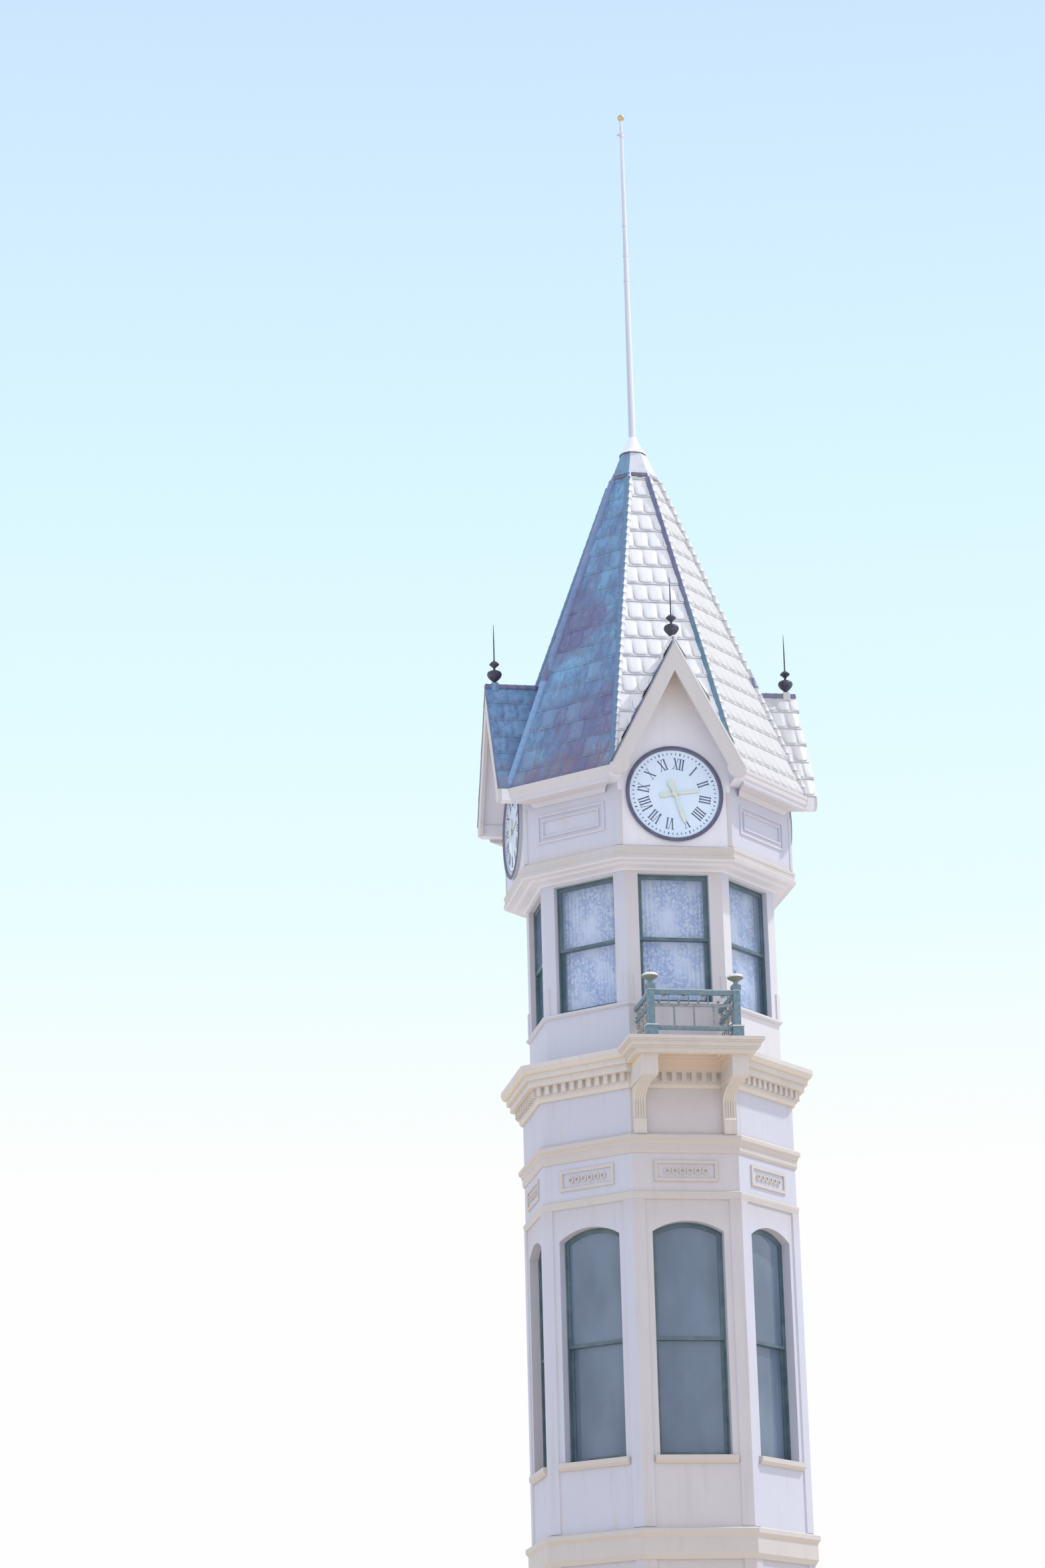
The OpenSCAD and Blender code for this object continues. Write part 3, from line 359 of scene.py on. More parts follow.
def lace():
    """Machine lace: clusters of white petals, the gaps between them painted blue as sky reflection and its folds blue
    as painted shade, plain net beside; its chart is in metres.
    """
    f = Finish("lace", Sheen_Weight=0.3)
    u, v, _ = f.parts(f.chart)
    bend = f.noise(16.0, 2.0, 0.5, f.chart)
    drawn = f.node("CombineXYZ", {0: u + bend * 0.03, 1: v + bend * 0.045})
    worked = f.noise(1.0, 3.0, 0.55, f.scaled(f.chart, (2.6, 1.5, 1.0))).step(0.36, 0.55)
    gap = f.cells(drawn, 24.0).step(0.34, 0.62) * 0.75 + f.cells(drawn, 47.0).step(0.3, 0.7) * 0.35
    gap = gap.at_most(1.0) * worked
    folds = f.noise(1.0, 3.0, 0.6, f.scaled(f.chart, (34.0, 0.9, 1.0))).step(0.46, 0.68)
    folds = folds * (0.25 + v.step(0.85, 1.15) * 0.45)
    net = abs((u * 420.0).sine()) * abs((v * 420.0).sine())
    cover = 0.99 - gap * 0.2 - folds * 0.12 - (1.0 - worked) * net * 0.08
    # The gaps are painted blue as sky reflection, and the folds as shade
    colour = f.mix((gap + folds * 0.45).at_most(1.0), (0.9, 0.93, 0.98), (0.54, 0.65, 0.88))
    return f.done(colour, 0.85, 1.0 - gap, 0.0006, Alpha=cover)


def lit_and_weathered(f):
    """Colour, roughness and height of the roof's metal, with painted light and shade, and how far it is shaded, sunny
    or a gable's west slope.

    The colour by face is painted light and shade: the metal's teal and violet show only on the faces at -X, within 45
    degrees of SHADE, that is from hip to hip, as their shade, and the other faces are painted chalky white as sunlit
    metal; the west slopes of the front and back gables are painted teal as shade at their rakes. The sunny faces lie
    within 67.5 degrees of +X and get a greyer white, painted darker against the sun. A violet bloom lies at the middle
    of the teal face next to the front, and rust near its eaves.
    """
    x, y, z = f.xyz
    depth = abs(y)
    east, towards = f.bearings
    west = (f.normal[0] * -0.889 + f.normal[2] * 0.458).step(0.84, 0.9)
    west = west * z.step(GABLE_TOP_Z + 0.03, GABLE_TOP_Z + 0.01) * depth.step(1.26, 1.3)
    # Painted shade: the teal faces from hip to hip on the -X side, and the west gable slopes at their rakes
    shaded = towards.step(*SHADED_FACES).at_least(west * depth.step(1.93, 1.96))
    # Painted sun: the faces towards +X
    sunny = east.step(0.376, 0.39) * abs(x).at_least(depth).step(1.95, 1.93)
    runs = f.grain(8.0, 0.9, 5.0, 0.65)
    streaks = f.grain(17.0, 1.5, 4.0, 0.65)
    fine = f.grain(24.0, 4.0)
    chalk = runs.step(0.45, 0.75) * 0.8
    # Chalky white painted as sunlit metal, greyer on the sunny faces
    pale = f.mix(chalk, (0.865, 0.85, 0.835), (0.785, 0.775, 0.79)).layered(
        (fine.step(0.58, 0.78) * 0.25, (0.7, 0.66, 0.67)),
        (sunny, f.mix(chalk, (0.62, 0.61, 0.6), (0.57, 0.56, 0.565))))
    side = (x - y) * DIAGONAL
    blots = f.grain(1.7, 1.0, 5.0, 0.65, (3.1, 0.7, 1.9))
    cloud = f.grain(0.9, 0.55, 5.0, 0.6, (0.4, 0.1, 0.2))
    lit = (blots + side * 0.12 + streaks * 0.25 - 0.12).step(0.53, 0.66)
    aside, above = side + 0.2, z - 17.15
    apart = (aside * aside * 4.2 + above * above * 0.85) ** 0.5 + blots * 0.9 - 0.45
    bloom = apart.step(1.1, 0.25) * 0.17 + z.step(16.35, 15.6) * side.step(-0.75, -0.25) * 0.15
    violet = (cloud + bloom + streaks * 0.4 - 0.13).step(0.575, 0.695) * x.step(-1.5, -1.25)
    rust = (streaks + z.step(15.55, EAVE_Z + 0.01) * 0.24).step(0.56, 0.7) * z.step(16.4, 15.5)
    teal = (streaks * 0.6 + runs * 0.5).tint(0.47, 0.63, (0.15, 0.23, 0.38), (0.19, 0.35, 0.545)).layered(
        (lit * (0.45 + fine.step(0.35, 0.65) * 0.4), (0.235, 0.48, 0.69)),
        (violet * (0.55 + fine.step(0.36, 0.62) * 0.35), (0.175, 0.15, 0.275)),
        (rust * 0.65, (0.255, 0.16, 0.19)))
    return f.mix(shaded, pale, teal), 0.46 + fine * 0.25, fine + runs * 0.5, shaded, sunny, west


def roof_metal():
    """Weathered metal of the smooth roof under the shingles, with its painted light and shade, and the gables' folded
    edge painted dark as shade on the -X side.
    """
    f = Finish("roof_metal", 0.4)
    x, y, z = f.xyz
    colour, rough, height = lit_and_weathered(f)[:3]
    # Painted shade: a dark line on the gables' front edge on the -X side
    rim = abs(x).at_least(abs(y)).step(2.018, 2.023) * z.step(16.6, 16.55) * x.step(0.03, -0.03)
    colour = f.mix(rim, colour, (0.205, 0.225, 0.305))
    return f.done(colour, rough, height, 0.0012, 0.6)


def shingle_patina():
    """The same metal pressed into shingles: each a little lighter or darker, with painted shadow along the foot and the
    left side.

    The chart holds the distance inside a plate's left and lower outline, and the height over the course's foot, both in
    metres, with the plate's number as the whole part of the second. The painted shadow lines are a faint brown on the
    sunny faces, and a soft painted shade lies inside the low left part of each plate, off the sunny faces.
    """
    f = Finish("shingle_patina", 0.4)
    colour, rough, height, shaded, sunny, west = lit_and_weathered(f)
    inside, climb, _ = f.parts(f.chart)
    plate = climb.whole()
    depth = climb - plate
    lot = f.noise(3.0, 1.0, 0.5, f.node("CombineXYZ", {0: plate * 0.731, 1: plate * 0.377, 2: 0.5}))
    # Painted shade inside the low left part of each plate
    left_shade = inside.band(-0.004, 0.003, 0.0, 0.085) * depth.step(0.3, 0.06) * (1.0 - sunny)
    # Painted shadow under each course's foot, fainter on the sunny and the shaded faces
    foot = depth.step(0.011, 0.005) * (0.8 - sunny * 0.56 - shaded * 0.3)
    # Painted shadow along each plate's left outline
    outline = inside.band(-0.007, -0.001, 0.002, 0.008) * depth.step(0.26, 0.1)
    line = (foot + outline * (0.58 - sunny * 0.5 - shaded * 0.34)).at_most(0.85) * (1.0 - west * 0.85)
    # Colours of the painted shadow lines: brown on the sunny faces, near black elsewhere, dark blue to grey on the teal
    # faces
    pale_line_shade = f.mix(sunny, (0.17, 0.16, 0.2), (0.42, 0.33, 0.28))
    teal_line_shade = lot.tint(0.45, 0.55, (0.075, 0.085, 0.17), (0.3, 0.27, 0.33))
    colour = colour.layered(
        (lot.step(0.5, 0.75) * (0.1 + shaded * 0.3), f.mix(shaded, (0.52, 0.52, 0.58), (0.11, 0.175, 0.33))),
        (lot.step(0.48, 0.3) * shaded * 0.35, (0.25, 0.44, 0.62)),
        (left_shade * 0.17, f.mix(shaded, (0.56, 0.54, 0.62), (0.16, 0.17, 0.3))),
        (line, f.mix(shaded, pale_line_shade, teal_line_shade)))
    return f.done(colour, rough, height, 0.0012, 0.6)


def hip_metal():
    """Capping over the hips: its side towards the shade is painted dark as shade, violet above and teal below, the rest
    chalky white as sunlit metal, greyer on the east side.

    Inside the shaded part it is painted lavender as shade, and towards a teal face it takes that face's teal. The
    chart's second value is the distance up the hip in metres; at the laps, one in each BEAD_PITCH, a dark line is
    painted as their shadow.
    """
    f = Finish("hip_metal")
    x, _, z = f.xyz
    east, towards = f.bearings
    inner = towards.step(0.85, 0.9)
    # Painted shade on the roll's side towards SHADE
    shaded_flank = f.facing(*SHADE).step(0.26, 0.36) * towards.step(-0.3, -0.2) * (1.0 - inner) * abs(x).step(0.06, 0.1)
    ridge = abs(x).step(1.28, 1.32) * z.step(16.38, 16.42)
    worn = f.grain(11.0, 3.0, 5.0, 0.65)
    spots = f.noise(34.0, 3.0, 0.5)
    lap = (f.parts(f.chart)[1] / BEAD_PITCH).fraction().band(0.04, 0.08, 0.17, 0.22)
    dark = z.tint(16.7, 17.7, (0.105, 0.215, 0.29), (0.155, 0.15, 0.27)).layered(
        (worn.step(0.4, 0.66) * 0.5, (0.205, 0.29, 0.39)),
        (towards.step(0.4, 0.55), (0.15, 0.245, 0.385)))
    lavender = worn.tint(0.4, 0.66, (0.19, 0.27, 0.45), (0.26, 0.3, 0.48))
    colour = f.mix(spots.step(0.5, 0.7) * 0.5, (0.84, 0.83, 0.82), (0.7, 0.7, 0.74)).layered(
        # Greyer on the east side, painted darker against the sun
        (east.step(0.2, 0.3), (0.66, 0.65, 0.645)),
        # Painted lavender shade inside the shaded part
        (inner, f.mix(z.step(16.75, 16.45), lavender, (0.245, 0.395, 0.62))),
        # Painted shadow at each lap
        (lap * (0.62 - inner * 0.4), f.mix(inner, (0.23, 0.23, 0.31), (0.17, 0.19, 0.33))),
        (shaded_flank, dark),
        (ridge * 0.9, (0.17, 0.165, 0.275)))
    return f.done(colour, 0.38 + spots * 0.3, spots, 0.001, 0.6)


def cap_shadow_paint():
    """Painted shadow under the cap and under the cone's rim: violet grey with paler rubs, and paler on the +X side as
    painted sunlight.
    """
    f = Finish("cap_shadow_paint", 0.4)
    rubs = f.noise(26.0)
    colour = rubs.tint(0.4, 0.7, (0.135, 0.125, 0.185), (0.23, 0.215, 0.28))
    # Paler on the +X side as painted sunlight
    colour = f.mix(f.xyz[0].step(0.1, 0.16) * 0.55, colour, (0.6, 0.58, 0.6))
    return f.done(colour, 0.45 + rubs * 0.3, rubs, 0.001, 0.6)


def cap_metal():
    """Painted sheet metal of the cap, coloured by light: a white cone as sunlit, greyer faces under it as painted shade
    of the cone's rim, and teal on the -X side as painted shade, with dull rain marks.
    """
    f = Finish("cap_metal")
    z = f.xyz[2]
    marks = f.grain(16.0, 3.0)
    faces = marks.tint(0.4, 0.75, (0.7, 0.695, 0.73), (0.6, 0.6, 0.67))
    cone = marks.tint(0.4, 0.75, (0.92, 0.92, 0.91), (0.86, 0.87, 0.88))
    teal = marks.tint(0.45, 0.6, (0.165, 0.345, 0.48), (0.205, 0.255, 0.405))
    # Greyer faces under the cone as painted shade
    colour = f.mix(z.step(CAP_TOP_Z - 0.005, CAP_TOP_Z + 0.005), faces, cone)
    # Teal on the -X side as painted shade
    colour = f.mix(f.bearings[1].step(*SHADED_FACES) * z.step(CAP_TOP_Z + 0.02, CAP_TOP_Z), colour, teal)
    return f.done(colour, 0.35 + marks * 0.25, marks, 0.0008)


def pole_paint():
    """White paint on a wooden pole: fine checks along its length, and a grey lavender painted shade on its -X side."""
    f = Finish("pole_paint", Coat_Weight=0.15, Coat_Roughness=0.3)
    checks = f.grain(90.0, 2.0)
    # Painted shade on the -X side
    colour = (f.xyz[0] * -14.0 + checks * 0.6).tint(0.15, 0.75, (0.84, 0.84, 0.86), (0.56, 0.56, 0.68))
    return f.done(colour, 0.35 + checks * 0.25, checks, 0.0006)


def dial_enamel():
    """White enamel of the dials, tinted blue as a painted sky reflection, a shade greyer in clouds, with a soft gloss.
    """
    f = Finish("dial_enamel", Coat_Weight=0.35, Coat_Roughness=0.12)
    clouds = f.noise(3.2)
    specks = f.noise(70.0, 3.0, 0.5)
    # The blue tint is a painted sky reflection
    colour = clouds.tint(0.3, 0.7, (0.7, 0.82, 0.975), (0.76, 0.87, 0.99))
    colour = f.mix(specks.step(0.66, 0.78) * 0.25, colour, (0.58, 0.66, 0.76))
    return f.done(colour, 0.25 + clouds * 0.15, specks, 0.0003, 0.4)


def ring_paint():
    """Dark slate paint on the dials' rings, chalked in places; their rims keep the wall's pale paint."""
    f = Finish("ring_paint", Coat_Weight=0.15, Coat_Roughness=0.3)
    chalk = f.noise(9.0, 5.0)
    dark = chalk.tint(0.35, 0.7, (0.082, 0.085, 0.15), (0.125, 0.13, 0.205))
    fronts = [abs(f.normal[k]) * abs(f.xyz[k]).step(1.0, 1.2) for k in (0, 1)]
    colour = f.mix(fronts[0].at_least(fronts[1]).step(0.35, 0.6), (0.5, 0.49, 0.53), dark)
    return f.done(colour, 0.42 + chalk * 0.25, f.noise(60.0, 3.0, 0.5), 0.0006)


def finial_iron():
    """Dark cast iron of the finials, with violet bloom and fine pits."""
    f = Finish("finial_iron", Metallic=0.3)
    pits = f.noise(55.0)
    colour = f.noise(9.0, 3.0, 0.5).tint(0.35, 0.7, (0.055, 0.055, 0.075), (0.115, 0.11, 0.16))
    return f.done(colour, 0.45 + pits * 0.3, pits, 0.0012, 0.6)


def worn_paint(name, scale, limits, colours, rough, duller, relief, detail=4.0, **inputs):
    """A finish that wears from its first colour to its second in spots, where it is duller as well."""
    f = Finish(name, **inputs)
    worn = f.noise(scale, detail)
    return f.done(worn.tint(*limits, *colours), rough + worn * duller, worn, relief)


def railing_paint():
    """Grey green paint on the balcony's iron, with mauve bars: faces that look up, the caps' domes, the post blocks'
    edges and the rail's top line are painted pale as sunlight, and the caps are olive as painted shade, darker low
    down.
    """
    f = Finish("railing_paint", Coat_Weight=0.1, Coat_Roughness=0.4)
    x, y, z = f.xyz
    bay, over = abs(x), z - POST_CAP_Z
    worn = f.noise(20.0)
    up = f.normal[2].step(0.1, 0.55)
    bars = z.band(11.51, 11.535, 11.76, 11.785)
    bars = bars * bay.step(0.475, 0.47) + bars * y.step(-2.285, -2.28)
    middle = z.band(11.765, 11.775, 11.809, 11.815) * bay.step(0.475, 0.47)
    lit_top_line = z.band(11.968, 11.972, 11.982, 11.985)
    lit_block_edge = z.band(11.528, 11.532, 11.545, 11.548) * bay.step(0.44, 0.45)
    cap, lit_dome, spike = over.band(0.0, 0.01, 0.104, 0.108), over.band(0.05, 0.058, 0.104, 0.108), over.step(0.106, 0.11)
    # Painted sunlight on faces that look up
    lit_tops = up * (0.35 + (cap + z.step(11.6, 11.58)).at_most(1.0) * 0.6) * over.step(0.11, 0.106)
    colour = worn.tint(0.35, 0.7, (0.14, 0.225, 0.27), (0.205, 0.295, 0.335)).layered(
        ((bars * 0.75 + middle * 0.8).at_most(1.0), worn.tint(0.4, 0.6, (0.235, 0.225, 0.265), (0.36, 0.34, 0.34))),
        # The caps painted olive as shade, darker low down
        (cap * (0.6 + worn * 0.4), f.mix(cap * over.step(0.058, 0.05), (0.34, 0.32, 0.225), (0.205, 0.2, 0.135))),
        # Painted sunlight on the caps' domes, the post blocks' edges and the rail's top line
        ((lit_dome * 0.85 + lit_block_edge * 0.75 + lit_top_line * 0.6).at_most(1.0), (0.8, 0.8, 0.77)),
        (spike, (0.085, 0.09, 0.11)),
        ((lit_tops + worn * 0.1 * up).at_most(1.0), (0.8, 0.8, 0.76)))
    return f.done(colour, 0.45 + worn * 0.25, f.noise(75.0, 3.0, 0.5), 0.0008)


def floor_boards():
    """Bare floor boards: brown grain along Y, with dark joints every 14 cm; painted where they reach outside."""
    f = Finish("floor_boards")
    x, y, z = f.xyz
    across, depth, boards_per_metre = abs(x), abs(y), 7.14
    grain = f.noise(1.0, 5.0, 0.6, f.scaled(f.place, (22.0, 1.6, 22.0)))
    seam = abs((x * boards_per_metre).fraction() - 0.5).step(0.47, 0.495)
    away = across.at_least(depth).at_least((across + depth) * DIAGONAL)
    outside = away.step(WINDOW_HALF - 0.005, WINDOW_HALF) * z.step(11.2, 11.25)
    colour = grain.tint(0.3, 0.7, (0.26, 0.165, 0.09), (0.38, 0.255, 0.15)).layered(
        (seam, (0.06, 0.04, 0.025)),
        (outside, grain.tint(0.3, 0.7, (0.62, 0.59, 0.57), (0.57, 0.54, 0.52))))
    return f.done(colour, 0.7, grain - seam, 0.001)


def added(name, data):
    """A new object of the scene, at the origin."""
    thing = bpy.data.objects.new(name, data)
    bpy.context.scene.collection.objects.link(thing)
    return thing


def add_piece(name, points, faces, material, chart=None):
    """A smooth mesh object at the origin from arrays of points and four-sided faces, riding on the tower."""
    mesh = bpy.data.meshes.new(name)
    mesh.vertices.add(len(points))
    mesh.vertices.foreach_set("co", points.ravel().astype(np.float32))
    mesh.loops.add(faces.size)
    mesh.loops.foreach_set("vertex_index", faces.ravel().astype(np.int32))
    mesh.polygons.add(len(faces))
    mesh.polygons.foreach_set("loop_start", np.arange(0, faces.size, 4, dtype=np.int32))
    if chart is not None:
        layer = mesh.uv_layers.new(name="chart")
        layer.data.foreach_set("uv", chart[faces.ravel()].ravel().astype(np.float32))
    mesh.validate()
    mesh.update()
    mesh.materials.append(material)
    piece = added(name, mesh)
    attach(piece, TOWER)
    return piece


def grid_faces(count, rows, columns, wrap=False, turn=False):
    """Four-sided faces of count grids of rows by columns points, joined round where wrap is set."""
    across = columns if wrap else columns - 1
    r, c = np.meshgrid(np.arange(rows - 1), np.arange(across), indexing="ij")
    a, b = r * columns + c, r * columns + (c + 1) % columns
    one = np.stack([a, b, b + columns, a + columns], -1).reshape(-1, 4)
    if turn:
        one = one[:, ::-1]
    return (one[None] + (np.arange(count) * rows * columns)[:, None, None]).reshape(-1, 4)


def turned(points, face):
    """Points turned about the tower's axis from face 0 to the given face, an eighth of a turn each."""
    a = pi / 4 * face
    spin = np.array([[cos(a), -sin(a), 0], [sin(a), cos(a), 0], [0, 0, 1]])
    return points @ spin.T


def gathered(parts):
    """Several (points, faces) or (points, faces, chart) parts as one."""
    columns = [list(column) for column in zip(*parts)]
    bases = np.cumsum([0] + [len(points) for points in columns[0]])
    columns[1] = [faces + base for faces, base in zip(columns[1], bases)]
    return [np.vstack(column) for column in columns]


def smooth(t):
    """0 below 0, 1 above 1, and 3 t^2 - 2 t^3 between them."""
    t = np.clip(t, 0, 1)
    return t * t * (3 - 2 * t)


def plates(left, foot, head, low_limit, high_limit):
    """Pressed shingles on a flat slope, one grid each, as (across, along the slope, height) points and their chart.

    A grid is a strip of sheet from LAP high at its foot down to nothing at its head, with a plate pressed out of it.
    The plate's outline starts PLATE_FOOT over the sheet's foot; its lower corners are rounded, so near the foot each
    side moves in by r - sqrt(r^2 - d^2), d being the depth inside the rounding. Inside the outline the plate rises by a
    smooth step and then crowns by 4 t (1 - t) across, and all of it dies out up the slope. The slope's own edges,
    low_limit(s) and high_limit(s), cut the sheet without lowering it.
    """
    margin, step_w, step_tall = 0.011, 0.009, 0.008
    sheet, pressed, crown = 0.0015, 0.008, 0.006
    left, foot, head = (np.asarray(a, float)[:, None, None] for a in (left, foot, head))
    tall = head - foot
    levels = np.array([0, 0.002, 0.02, PLATE_FOOT, 0.034, 0.047, 0.075, 0.15, EXPOSURE])[None, :, None]
    depth = levels * tall / EXPOSURE
    s = foot + depth
    inset = np.clip(CORNER_R - (depth - PLATE_FOOT), 0, CORNER_R)
    pull = CORNER_R - np.sqrt(np.maximum(CORNER_R ** 2 - inset ** 2, 0))
    x0, x1 = left + pull, left + PLATE_W - 2 * margin - pull
    wide = x1 - x0
    far = left + PLATE_W - margin
    columns = np.concatenate([left - margin + 0 * pull, x0, x0 + step_w, x0 + 0.3 * wide, x0 + 0.65 * wide,
                              x1 - step_w, x1, far + 0 * pull], -1)
    hair = 1e-4 * np.arange(columns.shape[-1])
    across = np.clip(columns, low_limit(s) + hair, high_limit(s) - hair[::-1])
    edge = np.minimum(across - x0, x1 - across)
    rise = smooth(np.minimum(edge / step_w, (depth - PLATE_FOOT) / step_tall))
    t = np.clip((across - x0) / wide, 0, 1)
    fade = 1 - smooth((depth - 0.08) / 0.2)
    height = sheet + LAP * (1 - depth / tall) + rise * (pressed * (0.25 + 0.75 * fade) + crown * 4 * t * (1 - t) * fade)
    height = np.where(depth > 0.0005, height, -0.002)
    corner = CORNER_R - np.hypot(across - left - CORNER_R, depth - PLATE_FOOT - CORNER_R)
    rounded = (across < left + CORNER_R) & (depth < PLATE_FOOT + CORNER_R)
    inside = np.where(rounded, corner, np.minimum(across - left, depth - PLATE_FOOT))
    number = np.arange(len(left))[:, None, None]
    chart = np.stack([inside, np.clip(depth, 0, 0.99) + 0 * across + number], -1)
    return np.concatenate([across[..., None], (s + 0 * across)[..., None], height[..., None], chart], -1)


def course_plates(feet, length, start, low_limit, high_limit):
    """Every plate of a slope, course by course, each course moved on by half a plate from the one below.

    Each course reaches a little under the next. Slivers at the slope's edges are left out.
    """
    under, sliver, least = 0.012, 0.03, 0.04
    lefts, lows, heads = [], [], []
    for course, foot in enumerate(feet):
        head = min(feet[course + 1] + under, length) if course + 1 < len(feet) else length
        ends = np.array([[[foot], [head]]])
        low, high = float(low_limit(ends).min()), float(high_limit(ends).max())
        first = start + PLATE_W / 2 * (course % 2)
        for k in range(floor((low - first) / PLATE_W), ceil((high - first) / PLATE_W) + 1):
            x0 = first + k * PLATE_W
            if high - low >= least and x0 + PLATE_W - low >= sliver and high - x0 >= sliver:
                lefts.append(x0)
                lows.append(foot)
                heads.append(head)
    return plates(lefts, lows, heads, low_limit, high_limit)


def laid(name, grids, material):
    """One piece from (points on the tower, plate grids, turn of the faces) triples."""
    points, faces, chart = gathered([
        (place.reshape(-1, 3), grid_faces(*grid.shape[:3], turn=turn), grid[..., 3:].reshape(-1, 2))
        for place, grid, turn in grids])
    add_piece(name, points, faces, material, chart)


def spire_shingles(material):
    """Shingles on the spire's eight faces: (across, slope, height) set on each face's plane.

    A point lies at -half + slope * sin(lean) along Y and slope * cos(lean) over the eaves. On the four faces with
    gables, plates stop where the gable's roof covers them.
    """
    lean = atan(SPIRE_LEAN)
    length = (SPIRE_TOP_Z - EAVE_Z) / cos(lean)
    hip_gap, valley_gap, shorter_first, start = 0.012, 0.015, 0.069, 0.0195
    covered = GABLE_RISE - 0.05

    def edge(s):
        return (EAVE_HALF - s * sin(lean)) * TAN_HALF - hip_gap

    def gable_edge(s):
        return np.maximum(GABLE_RISE - s * cos(lean), -0.03) * GABLE_HALF / GABLE_RISE + valley_gap

    def on_face(grid):
        x, s, h = grid[..., 0], grid[..., 1], grid[..., 2]
        y = -EAVE_HALF + s * sin(lean) - h * cos(lean)
        z = EAVE_Z + s * cos(lean) + h * sin(lean)
        return np.stack([x, y, z], -1)

    rule = ([0.0] + [EXPOSURE * k - shorter_first for k in range(1, 17)], length, start)
    whole = course_plates(*rule, lambda s: -edge(s), edge)
    above = whole[:, 0, 0, 1] * cos(lean) > covered
    beside = [course_plates(*rule, lambda s: -edge(s), lambda s: np.maximum(-gable_edge(s), 0.002 - edge(s))),
              course_plates(*rule, lambda s: np.minimum(gable_edge(s), edge(s) - 0.002), edge)]
    beside = [grid[grid[:, 0, 0, 1] * cos(lean) <= covered] for grid in beside]
    grids = [(turned(on_face(grid), face), grid, False) for face in range(8)
             for grid in ([whole[above]] + beside if face in GABLE_FACES else [whole])]
    laid("spire_shingles", grids, material)


def gable_shingles(material):
    """Shingles on the eight gable slopes, across the depth and up the slope, stopped at the spire's face."""
    angle = atan(GABLE_RISE / GABLE_HALF)
    length = GABLE_HALF / cos(angle)
    courses, start, rake = 6, 0.03 - GABLE_Y, 0.001 - GABLE_Y

    def back(s):
        return -(EAVE_HALF - SPIRE_LEAN * s * sin(angle)) + 0.02

    grid = course_plates([length / courses * k for k in range(courses)], length, start, lambda s: rake + 0 * s, back)
    y, s, h = grid[..., 0], grid[..., 1], grid[..., 2]
    grids = []
    for side in (-1, 1):
        x = side * (GABLE_HALF - s * cos(angle) + h * sin(angle))
        z = EAVE_Z + s * sin(angle) + h * cos(angle)
        slope = np.stack([x, y, z], -1)
        grids += [(turned(slope, face), grid, side < 0) for face in GABLE_FACES]
    laid("gable_shingles", grids, material)


def lapped_roll(start, end, radius):
    """A round cap of short lapped lengths along a straight line, with its points' distance along the line.

    The ring of points at s is start + s * direction + r(s) * (cos a * side + sin a * up), where r(s) is the radius,
    and lap more over a short bead at the foot of each length. Both ends run to a point.
    """
    columns, lap, bead = 12, 0.0035, (0.004, 0.009, 0.024, 0.03)
    start, end = np.array(start, float), np.array(end, float)
    direction = end - start
    length = np.linalg.norm(direction)
    direction /= length
    side = np.cross(direction, [0, 0, 1.0])
    side /= np.linalg.norm(side)
    up = np.cross(side, direction)
    feet = np.arange(0, length - BEAD_PITCH / 2, BEAD_PITCH)
    s = np.concatenate([[0], (feet[:, None] + bead).ravel(), [length]])
    r = np.concatenate([[0], np.tile([radius, radius + lap, radius + lap, radius], len(feet)), [0]])
    a = np.linspace(0, 2 * pi, columns, endpoint=False)
    ring = np.cos(a)[None, :, None] * side + np.sin(a)[None, :, None] * up
    points = (start + s[:, None, None] * direction + r[:, None, None] * ring).reshape(-1, 3)
    along = np.repeat(s, columns)
    return points, grid_faces(1, len(s), columns, wrap=True), np.stack([0 * along, along], -1)


def hip_caps(material):
    """Lapped caps on the eight hips and the four gable ridges, their end points merged to close them."""
    hip_r, ridge_r = 0.05, 0.04
    parts = []
    ridge_foot = [0, 0.004 - GABLE_Y, GABLE_TOP_Z]
    ridge_head = [0, SPIRE_LEAN * GABLE_RISE - EAVE_HALF + 0.05, GABLE_TOP_Z]
    for k in range(8):
        a = pi / 8 + pi / 4 * k
        across = np.array([sin(a), -cos(a), 0]) / COS_HALF
        foot, head = across * EAVE_HALF + [0, 0, EAVE_Z - 0.01], across * SPIRE_TOP_HALF + [0, 0, SPIRE_TOP_Z - 0.01]
        parts.append(lapped_roll(foot, head, hip_r))
    points, faces, chart = lapped_roll(ridge_foot, ridge_head, ridge_r)
    parts += [(turned(points, face), faces, chart) for face in GABLE_FACES]
    points, faces, chart = gathered(parts)
    piece = add_piece("hip_caps", points, faces, material, chart)
    shell = bmesh.new()
    shell.from_mesh(piece.data)
    bmesh.ops.remove_doubles(shell, verts=shell.verts, dist=1e-5)
    shell.to_mesh(piece.data)
    shell.free()


def octagon_ring(section):
    """A moulding round the tower: section is (distance from the axis, height) points, carried round eight corners.

    Corner k lies at the angle 22.5 + 45 k degrees and the radius distance / cos 22.5.
    """
    section = np.asarray(section, float)
    a = pi / 8 + pi / 4 * np.arange(8)
    r = section[:, :1] / COS_HALF
    grid = np.stack([r * np.cos(a), r * np.sin(a), section[:, 1:] + 0 * a], -1)
    closed = np.concatenate([grid, grid[:1]])
    return closed.reshape(-1, 3), grid_faces(1, len(section) + 1, 8, wrap=True)


